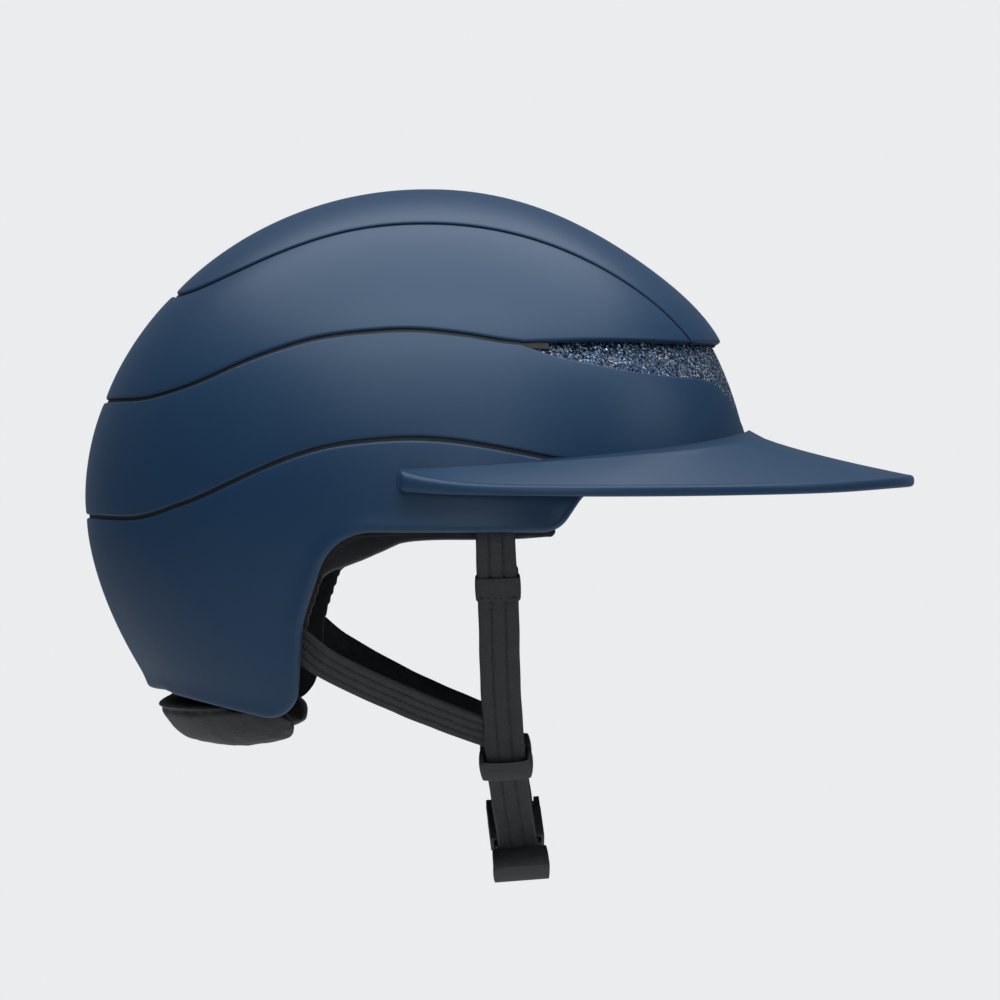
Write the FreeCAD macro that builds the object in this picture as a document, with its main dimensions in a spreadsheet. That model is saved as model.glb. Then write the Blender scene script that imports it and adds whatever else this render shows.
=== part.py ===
"""A riding helmet: four shell panels over a base shell, a foam liner, pads, a wide brim and a chin harness.

Millimetres. +X points forwards, +Y to the wearer's left, +Z up. The origin is on the centre plane, at the level
of the shell's widest girth, midway along the shell: the middle of the head opening.
"""

import FreeCAD, Part
import math
import os

from FreeCAD import Base, Placement, Rotation

V = Base.Vector

# ---------------------------------------------------------------- driving dimensions

SIZES = {
    # the outer form
    "shell_rear": 135.0,        # origin to the back of the shell
    "shell_front": 137.8,       # origin to the forehead
    "shell_half_width": 106.0,
    "crown_height": 127.1,
    "crown_x": 5.0,             # the highest point lies this far forward
    "nape_depth": 78.7,         # centre of the rear rim below the origin
    "nape_tuck": 0.215,         # how far the nape curls under, as a share of shell_rear
    "side_tuck": 0.16,          # the same for the sides
    "plan_power": 2.2,          # 2 is an ellipse in plan, more is squarer
    # walls
    "panel_wall": 3.0,
    "seam_gap": 1.4,
    "layer_gap": 0.2,           # air between two layers that are glued or clipped
    "base_wall": 2.0,
    "foam_wall": 15.0,
    "foam_setback": 8.0,        # the foam's rim stands back from the shell's rim
    "pad_wall": 5.0,
    "inlay_depth": 4.4,         # the glitter inlay lies this far below the panels at its upper edge
    "inlay_shallow": 1.4,       # and this far at its lower edge
    # the crown panel in plan
    "crown_half_width": 54.5,
    "crown_tail": 68.5,         # its rounded rear end is this long
    "crown_straight": 30.0,     # and begins this far behind the origin
    # ear opening
    "ear_top": -12.6,
    "ear_rear": -42.5,
    "ear_front": 57.0,
    "ear_radius": 22.0,
    "ear_drop": -88.0,          # the lowest corner of the shell, behind the ear
    "rear_rim": -77.0,
    "brow_rim": 4.4,
    "corner_radius": 11.0,
    # brim
    "brim_tip": 203.8,
    "brim_half_width": 118.0,
    "brim_centre": 40.0,        # the outline is an oval about this point
    "brim_end": -4.0,
    "brim_edge": 3.9,           # its thickness at the free edge
    "brim_root": 10.0,          # its depth where it meets the shell
    # harness
    "strap_wide": 16.0,
    "rear_strap_wide": 12.0,
    "strap_thick": 2.4,
    "web_thick": 1.4,
    "web_wide": 13.5,
    "bend_gap": 1.1,            # strap and hanger stay this far from the line they bend on
    "slot_gap": 0.5,            # room round a strap in a slot
    "loop_wall": 2.0,
    "loop_tall": 10.0,
    "collar_tall": 10.0,
    "collar_wall": 0.9,
    "rivet_head": 4.5,
    "rivet_shank": 1.9,
    # buckle
    "buckle_wide": 22.0,
    "buckle_thick": 7.6,
    "buckle_wall": 1.3,
    "cheek_wide": 2.3,
    "socket_long": 15.5,
    "socket_bar": 20.0,         # mouth to bar
    "plug_long": 4.0,
    "plug_bar": 9.0,
    "mouth_gap": 0.3,
    "bar_radius": 1.5,
    "bar_room": 0.2,            # between a bar and the strap round it
    "prong_long": 13.0,
    "prong_thick": 3.6,
    "prong_wide": 2.4,
}


def new_sheet(doc):
    """The spreadsheet that every sub-part reads."""
    sheet = doc.addObject("Spreadsheet::Sheet", "Sizes")
    for row, (name, value) in enumerate(SIZES.items(), 1):
        sheet.set(f"A{row}", name)
        sheet.set(f"B{row}", str(value))
        sheet.setAlias(f"B{row}", name)
    doc.recompute()
    return sheet


doc = FreeCAD.newDocument("helmet")
sheet = new_sheet(doc)


def size(name):
    """A driving dimension, read back from the sheet."""
    return float(getattr(sheet, name))


# the tables and places below were drawn for these lengths, heights and widths, and follow the sizes
DRAWN_REAR, DRAWN_FRONT, DRAWN_WIDE, DRAWN_TALL, DRAWN_RIM = 135.0, 137.8, 106.0, 127.1, -77.0


def fore(x):
    """A lengthways place that keeps its share of the shell's length."""
    return x * (size("shell_front") / DRAWN_FRONT if x > 0 else size("shell_rear") / DRAWN_REAR)


def aside(y):
    """A sideways place that keeps its share of the shell's width."""
    return y * size("shell_half_width") / DRAWN_WIDE


def aloft(z):
    """A height over the girth that keeps its share of the crown's height."""
    return z * size("crown_height") / DRAWN_TALL if z > 0 else z


def carried(table):
    """A side-view table at the present sizes."""
    return tuple((fore(x), aloft(z)) for x, z in table)


# ---------------------------------------------------------------- the outer form

# inner control points of the three Bezier meridians from the girth to the crown, as shares of (reach, height)
REAR = ((1.0, 0.50), (0.58, 1.0))
SIDE = ((1.0, 0.56), (0.58, 1.0))
FRONT = ((1.0, 0.757), (0.706, 0.549), (0.602, 1.0))
GRID_AROUND, GRID_UP, GRID_DOWN = 26, 15, 7
SKIRT = 1.35                    # the form carries on this many nape depths below the girth


def meridian(reach, inner, climb):
    """(outwards, up) on a meridian; climb runs from 0 at the girth to 1 at the crown."""
    points = [(1.0, 0.0), *inner, (0.0, 1.0)]
    while len(points) > 1:
        pairs = zip(points, points[1:])
        points = [(p[0] + (q[0] - p[0]) * climb, p[1] + (q[1] - p[1]) * climb) for p, q in pairs]
    return reach * points[0][0], size("crown_height") * points[0][1]


def form(around, climb):
    """A point of the outer form: around is 0 at the front, pi at the back, climb negative below the girth."""
    c, s = math.cos(around), math.sin(around)
    power = size("plan_power")
    r = (abs(c) ** power + abs(s) ** power) ** (-1.0 / power)
    apex = size("crown_x")
    fore = c > 0
    reach = size("shell_front") - apex if fore else size("shell_rear") + apex
    side = size("shell_half_width")
    if climb >= 0:
        end_out, end_up = meridian(reach, FRONT if fore else REAR, climb)
        side_out, side_up = meridian(side, SIDE, climb)
        up = end_up * c * c + side_up * s * s
    else:
        tuck = (-climb) ** 1.85
        end_out = reach * (1 - (0.02 if fore else size("nape_tuck") * size("shell_rear") / reach) * tuck)
        side_out = side * (1 - size("side_tuck") * tuck)
        up = climb * size("nape_depth")
    return V(apex + end_out * r * c, side_out * r * s, up)


def form_inset(around, climb, inset):
    """The same point moved in along the surface normal."""
    step = 1e-3
    here = form(around, climb)
    if climb > 0.9999:
        return here - V(0, 0, inset)
    along = form(around + step, climb) - form(around - step, climb)
    up = form(around, climb + step) - form(around, climb - step)
    normal = along.cross(up)
    normal.normalize()
    return here - normal * inset


def wall_point(x, z, inset=0.0):
    """The point of the left-hand wall at this x and height, inset from the form, and the normal there."""
    around, climb = math.pi / 2, 0.0
    for _ in range(8):
        lo, hi = -SKIRT, 1.0
        for _ in range(26):
            climb = (lo + hi) / 2
            lo, hi = (climb, hi) if form_inset(around, climb, inset).z < z else (lo, climb)
        lo, hi = 0.0, math.pi
        for _ in range(26):
            around = (lo + hi) / 2
            lo, hi = (around, hi) if form_inset(around, climb, inset).x > x else (lo, around)
    here = form_inset(around, climb, inset)
    normal = form_inset(around, climb, inset - 1.0) - here
    normal.normalize()
    return here, normal


FORMS = {}


def form_solid(inset):
    """The whole form as a closed solid, moved in by inset; deeper ones reach a little lower."""
    key = round(inset, 3)
    if key in FORMS:
        return FORMS[key]
    foot = -SKIRT * size("nape_depth") - 3.0 - 0.2 * inset
    climbs = [-SKIRT * (1 - i / GRID_DOWN) for i in range(GRID_DOWN)]
    climbs += [i / GRID_UP for i in range(GRID_UP + 1)]
    turns = [math.pi * j / GRID_AROUND for j in range(GRID_AROUND + 1)]
    rows = [[form_inset(turn, climb, inset) for turn in turns] for climb in climbs]
    rows.insert(0, [V(p.x, p.y, foot) for p in rows[0]])
    for row in rows:
        row[0] = V(row[0].x, 0, row[0].z)
        row[-1] = V(row[-1].x, 0, row[-1].z)
    surface = Part.BSplineSurface()
    surface.interpolate(rows)
    left = surface.toShape()
    right = left.mirror(V(0, 0, 0), V(0, 1, 0))
    low = [min(half.Edges, key=lambda e: e.BoundBox.ZMax) for half in (left, right)]
    base = Part.Face(Part.Wire(low))
    shell = Part.makeShell([left, right, base])
    shell.sewShape()
    solid = Part.makeSolid(shell)
    if solid.Volume < 0:
        solid.reverse()
    FORMS[key] = solid
    return solid


# ---------------------------------------------------------------- outlines in side view, cut through sideways

# seams as (x, z), back to front
SEAM_UPPER = ((-150, 41), (-124, 40.4), (-107.6, 40.4), (-94.4, 43.2), (-82, 47.3), (-69.6, 52.6),
              (-57.4, 57.2), (-39.3, 62.5), (-21.8, 65.1), (0, 66.2), (20, 64.4), (35.2, 62), (47.5, 60.8))
SEAM_MIDDLE = ((-160, -6.6), (-132, -6.7), (-113, -7.4), (-103, -5.9), (-93.6, -2.7), (-84, 0.6),
               (-70.5, 6.6), (-56.7, 12.7), (-43.4, 17.7), (-30, 21.2), (-12.5, 23.3), (2, 23.8), (15, 23),
               (28.6, 21), (42, 18.5), (58, 15.5), (80, 13), (110, 12), (160, 12))
# the inlay's edges as (degrees round from the front, height)
INLAY_LOW = ((0, 16), (11.5, 16), (12.8, 22), (14.5, 28.3), (18.1, 34.2), (21.4, 40.1), (26.4, 45.9),
             (30.7, 48.0), (40.8, 48.9), (51, 50.8), (59.8, 53.9), (65.3, 56.3), (71.5, 60.6))
INLAY_HIGH = ((0, 62.6), (20, 62.7), (35, 63.0), (45, 63.2), (55, 62.9), (65, 62.0), (71.5, 61.2))
FAR = 250.0


def at(p):
    """A side-view point in space, on the centre plane."""
    return V(p[0], 0, p[1])


def spline(points):
    """A smooth edge through side-view points."""
    curve = Part.BSplineCurve()
    curve.interpolate([at(p) for p in points])
    return curve.toShape()


def prism(edges, near=-FAR, far=FAR):
    """The side-view outline carried right across from y = near to y = far."""
    wire = Part.Wire(Part.__sortEdges__(edges))
    face = Part.Face(wire)
    face.translate(V(0, near, 0))
    return face.extrude(V(0, far - near, 0))


def shifted(points, distance):
    """The points moved sideways from their own path, to its left for a positive distance."""
    moved = []
    for i, p in enumerate(points):
        a, b = points[max(i - 1, 0)], points[min(i + 1, len(points) - 1)]
        run, rise = b[0] - a[0], b[1] - a[1]
        length = math.hypot(run, rise)
        moved.append((p[0] - rise / length * distance, p[1] + run / length * distance))
    return moved


def seam_tool(points):
    """A thin curtain along a seam."""
    gap = size("seam_gap")
    low, high = shifted(points, -gap / 2), shifted(points, gap / 2)
    ends = [Part.makeLine(at(low[0]), at(high[0])), Part.makeLine(at(low[-1]), at(high[-1]))]
    return prism([spline(low), spline(high)] + ends)


def rounded_edges(corners):
    """Lines and arcs through (x, z, radius) corners; the first and last corners are plain ends."""
    points = [V(x, 0, z) for x, z, _ in corners]
    edges, start = [], points[0]
    for i in range(1, len(corners) - 1):
        before, after = points[i - 1] - points[i], points[i + 1] - points[i]
        before.normalize()
        after.normalize()
        half = before.getAngle(after) / 2
        run = corners[i][2] / math.tan(half)
        middle = before + after
        middle.normalize()
        arc_in, arc_out = points[i] + before * run, points[i] + after * run
        arc_mid = points[i] + middle * (corners[i][2] / math.sin(half) - corners[i][2])
        edges.append(Part.makeLine(start, arc_in))
        edges.append(Part.Arc(arc_in, arc_mid, arc_out).toShape())
        start = arc_out
    edges.append(Part.makeLine(start, points[-1]))
    return edges


def rim_corners(setback=0.0):
    """The lower rim from back to front, moved up into the shell by setback."""
    rear, drop = size("rear_rim"), size("ear_drop")
    ear_rear, ear_front, top = size("ear_rear"), size("ear_front"), size("ear_top")
    corners = [(-220.0, rear + 2, 0), (-104.0, rear + 1, 25.0), (ear_rear - 3.5, drop, size("corner_radius")),
               (ear_rear, drop + 40, 28.0), (ear_rear + 12, top, size("ear_radius")),
               (ear_front, top, 12.0), (ear_front + 11.5, size("brow_rim"), 12.0),
               (220.0, size("brow_rim") + 1, 0)]
    if not setback:
        return corners
    # every side moves left of its own direction, and the radii follow
    moved = []
    for i, (x, z, radius) in enumerate(corners):
        if i in (0, len(corners) - 1):
            moved.append((x, z + setback, 0))
            continue
        a, b, c = (V(q[0], 0, q[1]) for q in corners[i - 1:i + 2])
        one, two = b - a, c - b
        one.normalize()
        two.normalize()
        side_one, side_two = V(-one.z, 0, one.x), V(-two.z, 0, two.x)
        middle = side_one + side_two
        middle.normalize()
        p = b + middle * (setback / middle.dot(side_one))
        left_turn = one.x * two.z - one.z * two.x > 0
        moved.append((p.x, p.z, max(radius - setback, 2.0) if left_turn else radius + setback))
    return moved


def below_rim(setback=0.0):
    """Everything under the rim."""
    corners = rim_corners(setback)
    first, last = corners[0], corners[-1]
    deep = -FAR
    path = [at(last), V(last[0], 0, deep), V(first[0], 0, deep), at(first)]
    edges = rounded_edges(corners) + [Part.makeLine(a, b) for a, b in zip(path, path[1:])]
    return prism(edges)


def crown_outline(grow):
    """The crown panel's edge in plan, open at the front, moved out by grow."""
    wide, long, back = size("crown_half_width") + grow, size("crown_tail") + grow, size("crown_straight")
    left = []
    for turn in (0, 0.03, 0.08, 0.16, 0.28, 0.42, 0.6, 0.8, 1.0, 1.2, 1.4, math.pi / 2):
        x, y = -back - long * math.cos(turn) ** (2 / 3), wide * math.sin(turn) ** (2 / 3)
        left.append(V(fore(x), aside(y), 0))
    for x in (-10, 20, 45, 70, 90, 105, 116):
        left.append(V(fore(x), aside(wide - 5.5 * (max(x - 20, 0) / 92) ** 2), 0))
    return [V(p.x, -p.y, 0) for p in reversed(left[1:])] + left


def crown_tool():
    """A thin upright curtain round the crown panel."""
    gap = size("seam_gap")
    faces = []
    for grow in (gap / 2, -gap / 2):
        points = crown_outline(grow)
        curve = Part.BSplineCurve()
        curve.interpolate(points)
        faces.append(Part.Face(Part.Wire([curve.toShape(), Part.makeLine(points[-1], points[0])])))
    band = faces[0].cut(faces[1])
    band.translate(V(0, 0, aloft(57.0)))
    return band.extrude(V(0, 0, 140))


def height_at(table, degrees):
    """Straight interpolation in a table of (degrees, height)."""
    for (a, low), (b, high) in zip(table, table[1:]):
        if degrees <= b:
            return low + (high - low) * (degrees - a) / (b - a)
    return table[-1][1]


def radial_point(bearing, z, inset):
    """The form's point on an upright plane through the crown's axis, moved in along that plane."""
    around = bearing
    apex = size("crown_x")
    for _ in range(6):
        lo, hi = -SKIRT, 1.0
        for _ in range(26):
            climb = (lo + hi) / 2
            lo, hi = (climb, hi) if form(around, climb).z < z else (lo, climb)
        p = form(around, climb)
        around += bearing - math.atan2(p.y, p.x - apex)
    reach = math.hypot(p.x - apex, p.y) - inset
    return V(apex + reach * math.cos(bearing), reach * math.sin(bearing), z)


def inlay_loft(shrink, depth_low, depth_high, depth_in):
    """A strip between the inlay's edges, from its own face depths to depth_in."""
    last = INLAY_LOW[-1][0] - (4.0 if shrink else 0.0)
    turns = [0, 5, 10, 11.5, 12.8, 14.5, 16.3, 18.1, 21.4, 24, 26.4, 30.7, 35, 40.8, 46, 51, 55.5, 59.8, 62.5,
             65.3, last]
    wires = []
    for turn in [-t for t in reversed(turns[1:])] + turns:
        mid = form(math.radians(turn), 0.45)
        bearing = math.atan2(mid.y, mid.x - size("crown_x"))
        low = aloft(height_at(INLAY_LOW, abs(turn))) + shrink
        high = aloft(height_at(INLAY_HIGH, abs(turn))) - shrink
        outer, inner = [], []
        for share in (0, 0.25, 0.5, 0.75, 1.0):
            z = low + (high - low) * share
            outer.append(radial_point(bearing, z, depth_low + (depth_high - depth_low) * share))
            inner.append(radial_point(bearing, z, depth_in))
        points = outer + inner[::-1]
        wires.append(Part.makePolygon(points + [points[0]]))
    return Part.makeLoft(wires, True, True)


def block(x0, x1, y0, y1, z0, z1):
    """A plain box between two corners."""
    return Part.makeBox(x1 - x0, y1 - y0, z1 - z0, V(x0, y0, z0))


def layer(outer, inner):
    """The wall between two insets of the form."""
    return form_solid(outer).cut(form_solid(inner))


def biggest(shape):
    """The largest solid of a result, which leaves slivers behind."""
    return max(shape.Solids, key=lambda solid: solid.Volume)


PARTS = {}


def feature(label, shape):
    """A node whose form only Part functions can make."""
    obj = doc.addObject("Part::Feature", label)
    obj.Label = label
    obj.Shape = shape
    PARTS[label] = obj
    return obj


# ---------------------------------------------------------------- shell

rim = below_rim()
wall = size("panel_wall")
base_out = wall + size("layer_gap")
base_in = base_out + size("base_wall")
skin = layer(0, wall).cut(rim)
inlay_room = inlay_loft(0.0, -4.0, -4.0, base_in + 1.5)
skin = skin.cut(inlay_room)
skin = skin.cut(crown_tool()).cut(seam_tool(carried(SEAM_UPPER))).cut(seam_tool(carried(SEAM_MIDDLE)))
panels = sorted(skin.Solids, key=lambda solid: -solid.Volume)[:4]
panels.sort(key=lambda solid: solid.CenterOfMass.z)
for label, solid in zip(("lower_shell", "middle_panel", "upper_panel", "crown_panel"), panels):
    feature(label, solid)

feature("front_inlay", inlay_loft(size("layer_gap"), size("inlay_shallow"), size("inlay_depth"), base_in))
base = layer(base_out, base_in).cut(rim).cut(inlay_room)
base = biggest(base)

# ---------------------------------------------------------------- brim


def brim_section(turn):
    """One cross-section of the brim; turn is 0 at the tip and grows towards the left rear end."""
    centre, reach = size("brim_centre"), size("brim_tip") - size("brim_centre")
    last = math.acos((size("brim_end") - centre) / reach)
    root_last = math.pi / 2 + 0.07
    edge = V(centre + reach * math.cos(turn), size("brim_half_width") * math.sin(turn), 0)
    root_turn = turn * root_last / last
    share = max(math.cos(turn), 0.0)
    root = form_inset(root_turn, 0.02, 2.0)
    root.z = 0
    root_top = 12.6 + 4.0 * math.sin(min(turn / last, 1.0) * math.pi) * (1 - share) + 16.1 * share**2.2
    blunt = min(1.0, max(0.0, (last - turn) / 0.35)) ** 0.5
    edge_low = 1.5 + 4.2 * share**3 + 1.5 * (1 - blunt)
    edge_top = edge_low + size("brim_edge") + 1.1 * share**3 + 4.0 * (1 - blunt)
    root_low = root_top - size("brim_root") + 0.6 * (1 - blunt)
    middle = root * 0.5 + edge * 0.5
    sag = 1.6 * share
    rows = [(root, root_top), (middle, (root_top + edge_top) / 2 - sag), (edge, edge_top), (edge, edge_low),
            (middle, (root_low + edge_low) / 2 - sag * 0.6), (root, root_low)]
    return [V(p.x, p.y, z) for p, z in rows], last


def brim_solid():
    """The brim as a loft round the front, cut to sit on the shell."""
    _, last = brim_section(0)
    count = 9
    turns = [last * (i / count) for i in range(-count, count + 1)]
    wires = []
    for turn in turns:
        points, _ = brim_section(abs(turn))
        if turn < 0:
            points = [V(p.x, -p.y, p.z) for p in points]
        wires.append(Part.makePolygon(points + [points[0]]))
    solid = Part.makeLoft(wires, True, False)
    return biggest(solid.cut(form_solid(-0.1)))


feature("visor", brim_solid())

# ---------------------------------------------------------------- straps

EAST = V(1, 0, 0)


def ribbon(stations, wide, thick):
    """A flat strap through (point, outward normal) stations."""
    wires = []
    for i, (p, out) in enumerate(stations):
        along = stations[min(i + 1, len(stations) - 1)][0] - stations[max(i - 1, 0)][0]
        along.normalize()
        across = along.cross(out)
        across.normalize()
        face = across.cross(along)
        face.normalize()
        w, t = across * (wide / 2), face * (thick / 2)
        corners = [p + w + t, p - w + t, p - w - t, p + w - t]
        wires.append(Part.makePolygon(corners + [corners[0]]))
    return Part.makeLoft(wires, True, False)


web = size("web_thick")
web_inset = base_in + web / 2 + 0.5
strap = size("strap_thick")

# where the straps bend: the front one under the arch, the rear one in front of the ear opening's rear edge
front_bend, front_out = wall_point(33.4, size("ear_top") - 3.2, web_inset)
rear_bend = V(size("ear_rear") + 7.5, aside(82.0), -62.8)
axis = front_bend - rear_bend
axis.normalize()

# the buckle: its own frame has x across, y from the plug to the socket and z upwards out of its face
plug_bar_at = V(42.6, -1.0, -147.5)
left_loop_at = V(36.8, 40.0, -105.6)
lean = left_loop_at - plug_bar_at
lean.normalize()
across = EAST - lean * EAST.dot(lean)
across.normalize()
face = across.cross(lean)
mouth_at = plug_bar_at + lean * size("plug_bar")
buckle_rotation = Rotation(across, lean, face, "XYZ")
BUCKLE = Placement(mouth_at, buckle_rotation)
socket_bar_at = mouth_at + lean * size("socket_bar")


def flip(p):
    """The same point on the right-hand side."""
    return V(p.x, -p.y, p.z)


OUT = V(0, 0.84, -0.54)


def front_path(left):
    """Stations of the front strap from the bend to the divider, on the left-hand side."""
    out = OUT if left else flip(OUT)
    points = [front_bend, V(33.6, aside(86.5), -34.0), V(34.2, aside(70.0), -61.0), V(35.4, 53.5, -86.0),
              left_loop_at]
    if not left:
        points = [flip(p) for p in points]
    return points, out


offset = size("bar_radius") + size("bar_room") + strap / 2


def cut_at_bend(shape, left, keep_low, gap):
    """The part of a strap on one side of the bend line."""
    line, start, out = axis, front_bend, OUT
    if not left:
        line, start, out = flip(axis), flip(front_bend), flip(OUT)
    down = line.cross(out)
    down.normalize()
    if down.z > 0:
        down = down * -1
    other = down.cross(line)
    other.normalize()
    turn = Rotation(line, other, down, "XYZ")
    big = 400.0
    box = Part.makeBox(2 * big, 2 * big, big)
    if keep_low:
        box.translate(V(-big, -big, gap))
    else:
        box.translate(V(-big, -big, -gap - big))
    box.Placement = Placement(start, turn).multiply(box.Placement)
    return biggest(shape.common(box))


def front_strap(left):
    """The front strap: bend, divider, buckle bar."""
    points, out = front_path(left)
    before = points[0] - (points[1] - points[0]) * 0.2
    bar = socket_bar_at if left else plug_bar_at
    # the strap passes the bar on its lay side, travelling against back, and turns round it
    lay, back = (face, lean) if left else (lean, face)
    tangent = bar + lay * offset
    loop = points[-1]
    lower = tangent - loop
    low_out = across.cross(lower)
    low_out.normalize()
    if low_out.z > 0:
        low_out = low_out * -1
    stations = [(before, out)] + [(p, out) for p in points]
    stations += [(loop + lower * share, low_out) for share in (0.22, 0.9)]
    for degrees in range(0, 201, 20):
        angle = math.radians(degrees)
        spoke = lay * math.cos(angle) - back * math.sin(angle)
        stations.append((bar + spoke * offset, spoke * -1))
    body = cut_at_bend(ribbon(stations, size("strap_wide"), strap), left, True, size("bend_gap"))
    # the front corner stays under the rim, so that it swings clear of it
    return biggest(body.cut(block(0, 80, -150, 150, size("ear_top") - 3.4, 40))), stations


straps = {}
for side, left in (("left", True), ("right", False)):
    shape, stations = front_strap(left)
    straps[side] = stations
    feature(f"front_strap_{side}", shape)


def inner_ply(stations, distance):
    """Stations moved to the wearer's side of the strap."""
    return [(p - out * distance, out) for p, out in stations]


def rear_strap(side, left):
    """The rear strap, sewn behind the front one, and its tail through the divider."""
    stations = straps[side]
    inward = strap + 0.12
    loop, out = stations[5]
    above = stations[4][0]
    tail_top = loop + (above - loop) * 0.55
    tail_end = loop + (stations[6][0] - loop) * (2.2 if left else 1.9)
    tail = ribbon([(tail_top - out * inward, out), (loop - out * inward, out),
                   (stations[6][0] - stations[6][1] * inward, stations[6][1]),
                   (tail_end - stations[6][1] * inward, stations[6][1])], size("rear_strap_wide"), strap)
    start = rear_bend if left else flip(rear_bend)
    sewn = loop + (above - loop) * 0.42
    end = V(sewn.x + 3.0, sewn.y, sewn.z) - out * inward
    near = V(24.0, end.y + (start.y - end.y) * 0.16, end.z + 5.5)
    middle = start + (near - start) * 0.5 + V(0, 0, -1.5)
    before = start - (middle - start) * 0.3
    stations_run = [(before, out), (start, out), (middle, out), (near, out), (end, out)]
    run = ribbon(stations_run, size("rear_strap_wide"), strap)
    run = cut_at_bend(run, left, True, size("bend_gap") + 1.1)
    in_front = ribbon(stations[:8], size("strap_wide") + 1.0, strap + 0.12)
    return biggest(biggest(run.cut(in_front)).fuse(tail).cut(in_front).removeSplitter())


for side, left in (("left", True), ("right", False)):
    feature(f"rear_strap_{side}", rear_strap(side, left))


def wall_side(x, z, inset, left):
    """A wall point and normal on either side."""
    p, out = wall_point(x, z, inset)
    return (p, out) if left else (flip(p), flip(out))


def front_hanger(left, room=0.0):
    """The web between the front rivet and the bend."""
    stations = [wall_side(x, z, web_inset, left) for x, z in ((33, 19), (33, 6), (33.2, -6), (33.4, -19))]
    return ribbon(stations, size("web_wide") + 2 * room, web + 2 * room)


def rear_hanger(left, room=0.0):
    """The web between the rear rivet and the bend."""
    places = ((-27.5, -43), (-17.5, -48.5), (-8, -54))
    stations = [wall_side(size("ear_rear") + x, z, web_inset, left) for x, z in places]
    bend = rear_bend if left else flip(rear_bend)
    out = OUT if left else flip(OUT)
    stations.append((bend, out))
    stations.append((bend + (bend - stations[2][0]) * 0.3, out))
    return ribbon(stations, size("rear_strap_wide") + 2 * room, web + 2 * room)


HANGERS = {"front": front_hanger, "rear": rear_hanger}
RIVETS = {"front": (33.0, 11.0), "rear": (size("ear_rear") - 19.5, -47.4)}
shank = size("rivet_shank")
hangers, rivets, holes, pockets = {}, [], [], []
for side, left in (("left", True), ("right", False)):
    for end in ("front", "rear"):
        head_at, out = wall_side(*RIVETS[end], web_inset + web / 2, left)
        # a rivet: the head inside the web and the shank out through the base shell
        turn = Rotation(V(0, 0, 1), out)
        rivets.append((f"rivet_{end}_{side}", Placement(head_at - out * 1.5, turn)))
        head_room = Part.makeCylinder(size("rivet_head") + 0.3, 3.3, head_at - out * 3.2, out)
        holes.append(Part.makeCylinder(shank + 0.15, 14, head_at - out * 4, out))
        pockets.append(Part.makeCylinder(size("rivet_head") + 0.6, 8, head_at - out * 2.2, out))
        pockets.append(HANGERS[end](left, 0.5))
        raw = cut_at_bend(HANGERS[end](left), left, False, size("bend_gap"))
        hangers[f"{end}_hanger_{side}"] = biggest(raw.cut(holes[-1]).cut(head_room))
for label, solid in hangers.items():
    feature(label, solid)
for hole in holes:
    base = base.cut(hole)
feature("base_shell", biggest(base))


def cylinder(name, radius, height, place):
    """A cylinder primitive bound to the sheet."""
    obj = doc.addObject("Part::Cylinder", name)
    obj.setExpression("Radius", radius)
    obj.setExpression("Height", height)
    obj.Placement = place
    return obj


def box(name, length, width, height, centre):
    """A box primitive bound to the sheet, centred at a point of its own frame."""
    obj = doc.addObject("Part::Box", name)
    obj.setExpression("Length", length)
    obj.setExpression("Width", width)
    obj.setExpression("Height", height)
    doc.recompute()
    half = V(obj.Length.Value / 2, obj.Width.Value / 2, obj.Height.Value / 2)
    obj.Placement = Placement(centre - half, Rotation())
    return obj


def fuse(name, shapes, place=None):
    """A union node."""
    obj = doc.addObject("Part::MultiFuse", name)
    obj.Shapes = shapes
    obj.Refine = True
    if place:
        obj.Placement = place
    return obj


def cut(name, body, tool, place=None):
    """A difference node."""
    obj = doc.addObject("Part::Cut", name)
    obj.Base = body
    obj.Tool = tool
    obj.Refine = True
    if place:
        obj.Placement = place
    return obj


heads = []
for name, place in rivets:
    heads.append(cylinder(name + "_head", "Sizes.rivet_head", "1.5", place))
    shank_long = "1.5 + Sizes.web_thick + 0.5 + Sizes.base_wall"
    heads.append(cylinder(name + "_shank", "Sizes.rivet_shank", shank_long, place))
PARTS["anchor_rivets"] = fuse("anchor_rivets", heads)

# ---------------------------------------------------------------- dividers and collars


def strap_frame(p, along, out):
    """A frame at a strap: x across it, y along it, z out of its face."""
    along.normalize()
    side_ways = along.cross(out)
    side_ways.normalize()
    up = side_ways.cross(along)
    up.normalize()
    return Placement(p, Rotation(side_ways, along, up, "XYZ"))


for side, left in (("left", True), ("right", False)):
    stations = straps[side]
    loop, out = stations[5]
    along = stations[6][0] - stations[4][0]
    place = strap_frame(loop - out * (strap / 2 + 0.06), V(along), V(out))
    name = f"divider_{side}"
    room = "2 * (Sizes.slot_gap + Sizes.loop_wall)"
    outer = box(name + "_outer", "Sizes.strap_wide + " + room, "Sizes.loop_tall",
                "2 * Sizes.strap_thick + 2.2 + " + room, V(0, 0, 0))
    inner = box(name + "_inner", "Sizes.strap_wide + 2 * Sizes.slot_gap", "Sizes.loop_tall + 4",
                "2 * Sizes.strap_thick + 2 * Sizes.slot_gap + 2.2", V(0, 0, 0))
    PARTS[name] = cut(name, outer, inner, place)
    along = stations[2][0] - stations[1][0]
    middle = stations[1][0] + (stations[2][0] - stations[1][0]) * 1.0
    place = strap_frame(middle, V(along), V(stations[2][1]))
    name = f"strap_collar_{side}"
    outer = box(name + "_outer", "Sizes.strap_wide + 0.2 + 2 * Sizes.collar_wall", "Sizes.collar_tall",
                "Sizes.strap_thick + 0.5 + 2 * Sizes.collar_wall", V(0, 0, 0))
    inner = box(name + "_inner", "Sizes.strap_wide + 0.2", "Sizes.collar_tall + 4",
                "Sizes.strap_thick + 0.5", V(0, 0, 0))
    PARTS[name] = cut(name, outer, inner, place)

# ---------------------------------------------------------------- buckle

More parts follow.
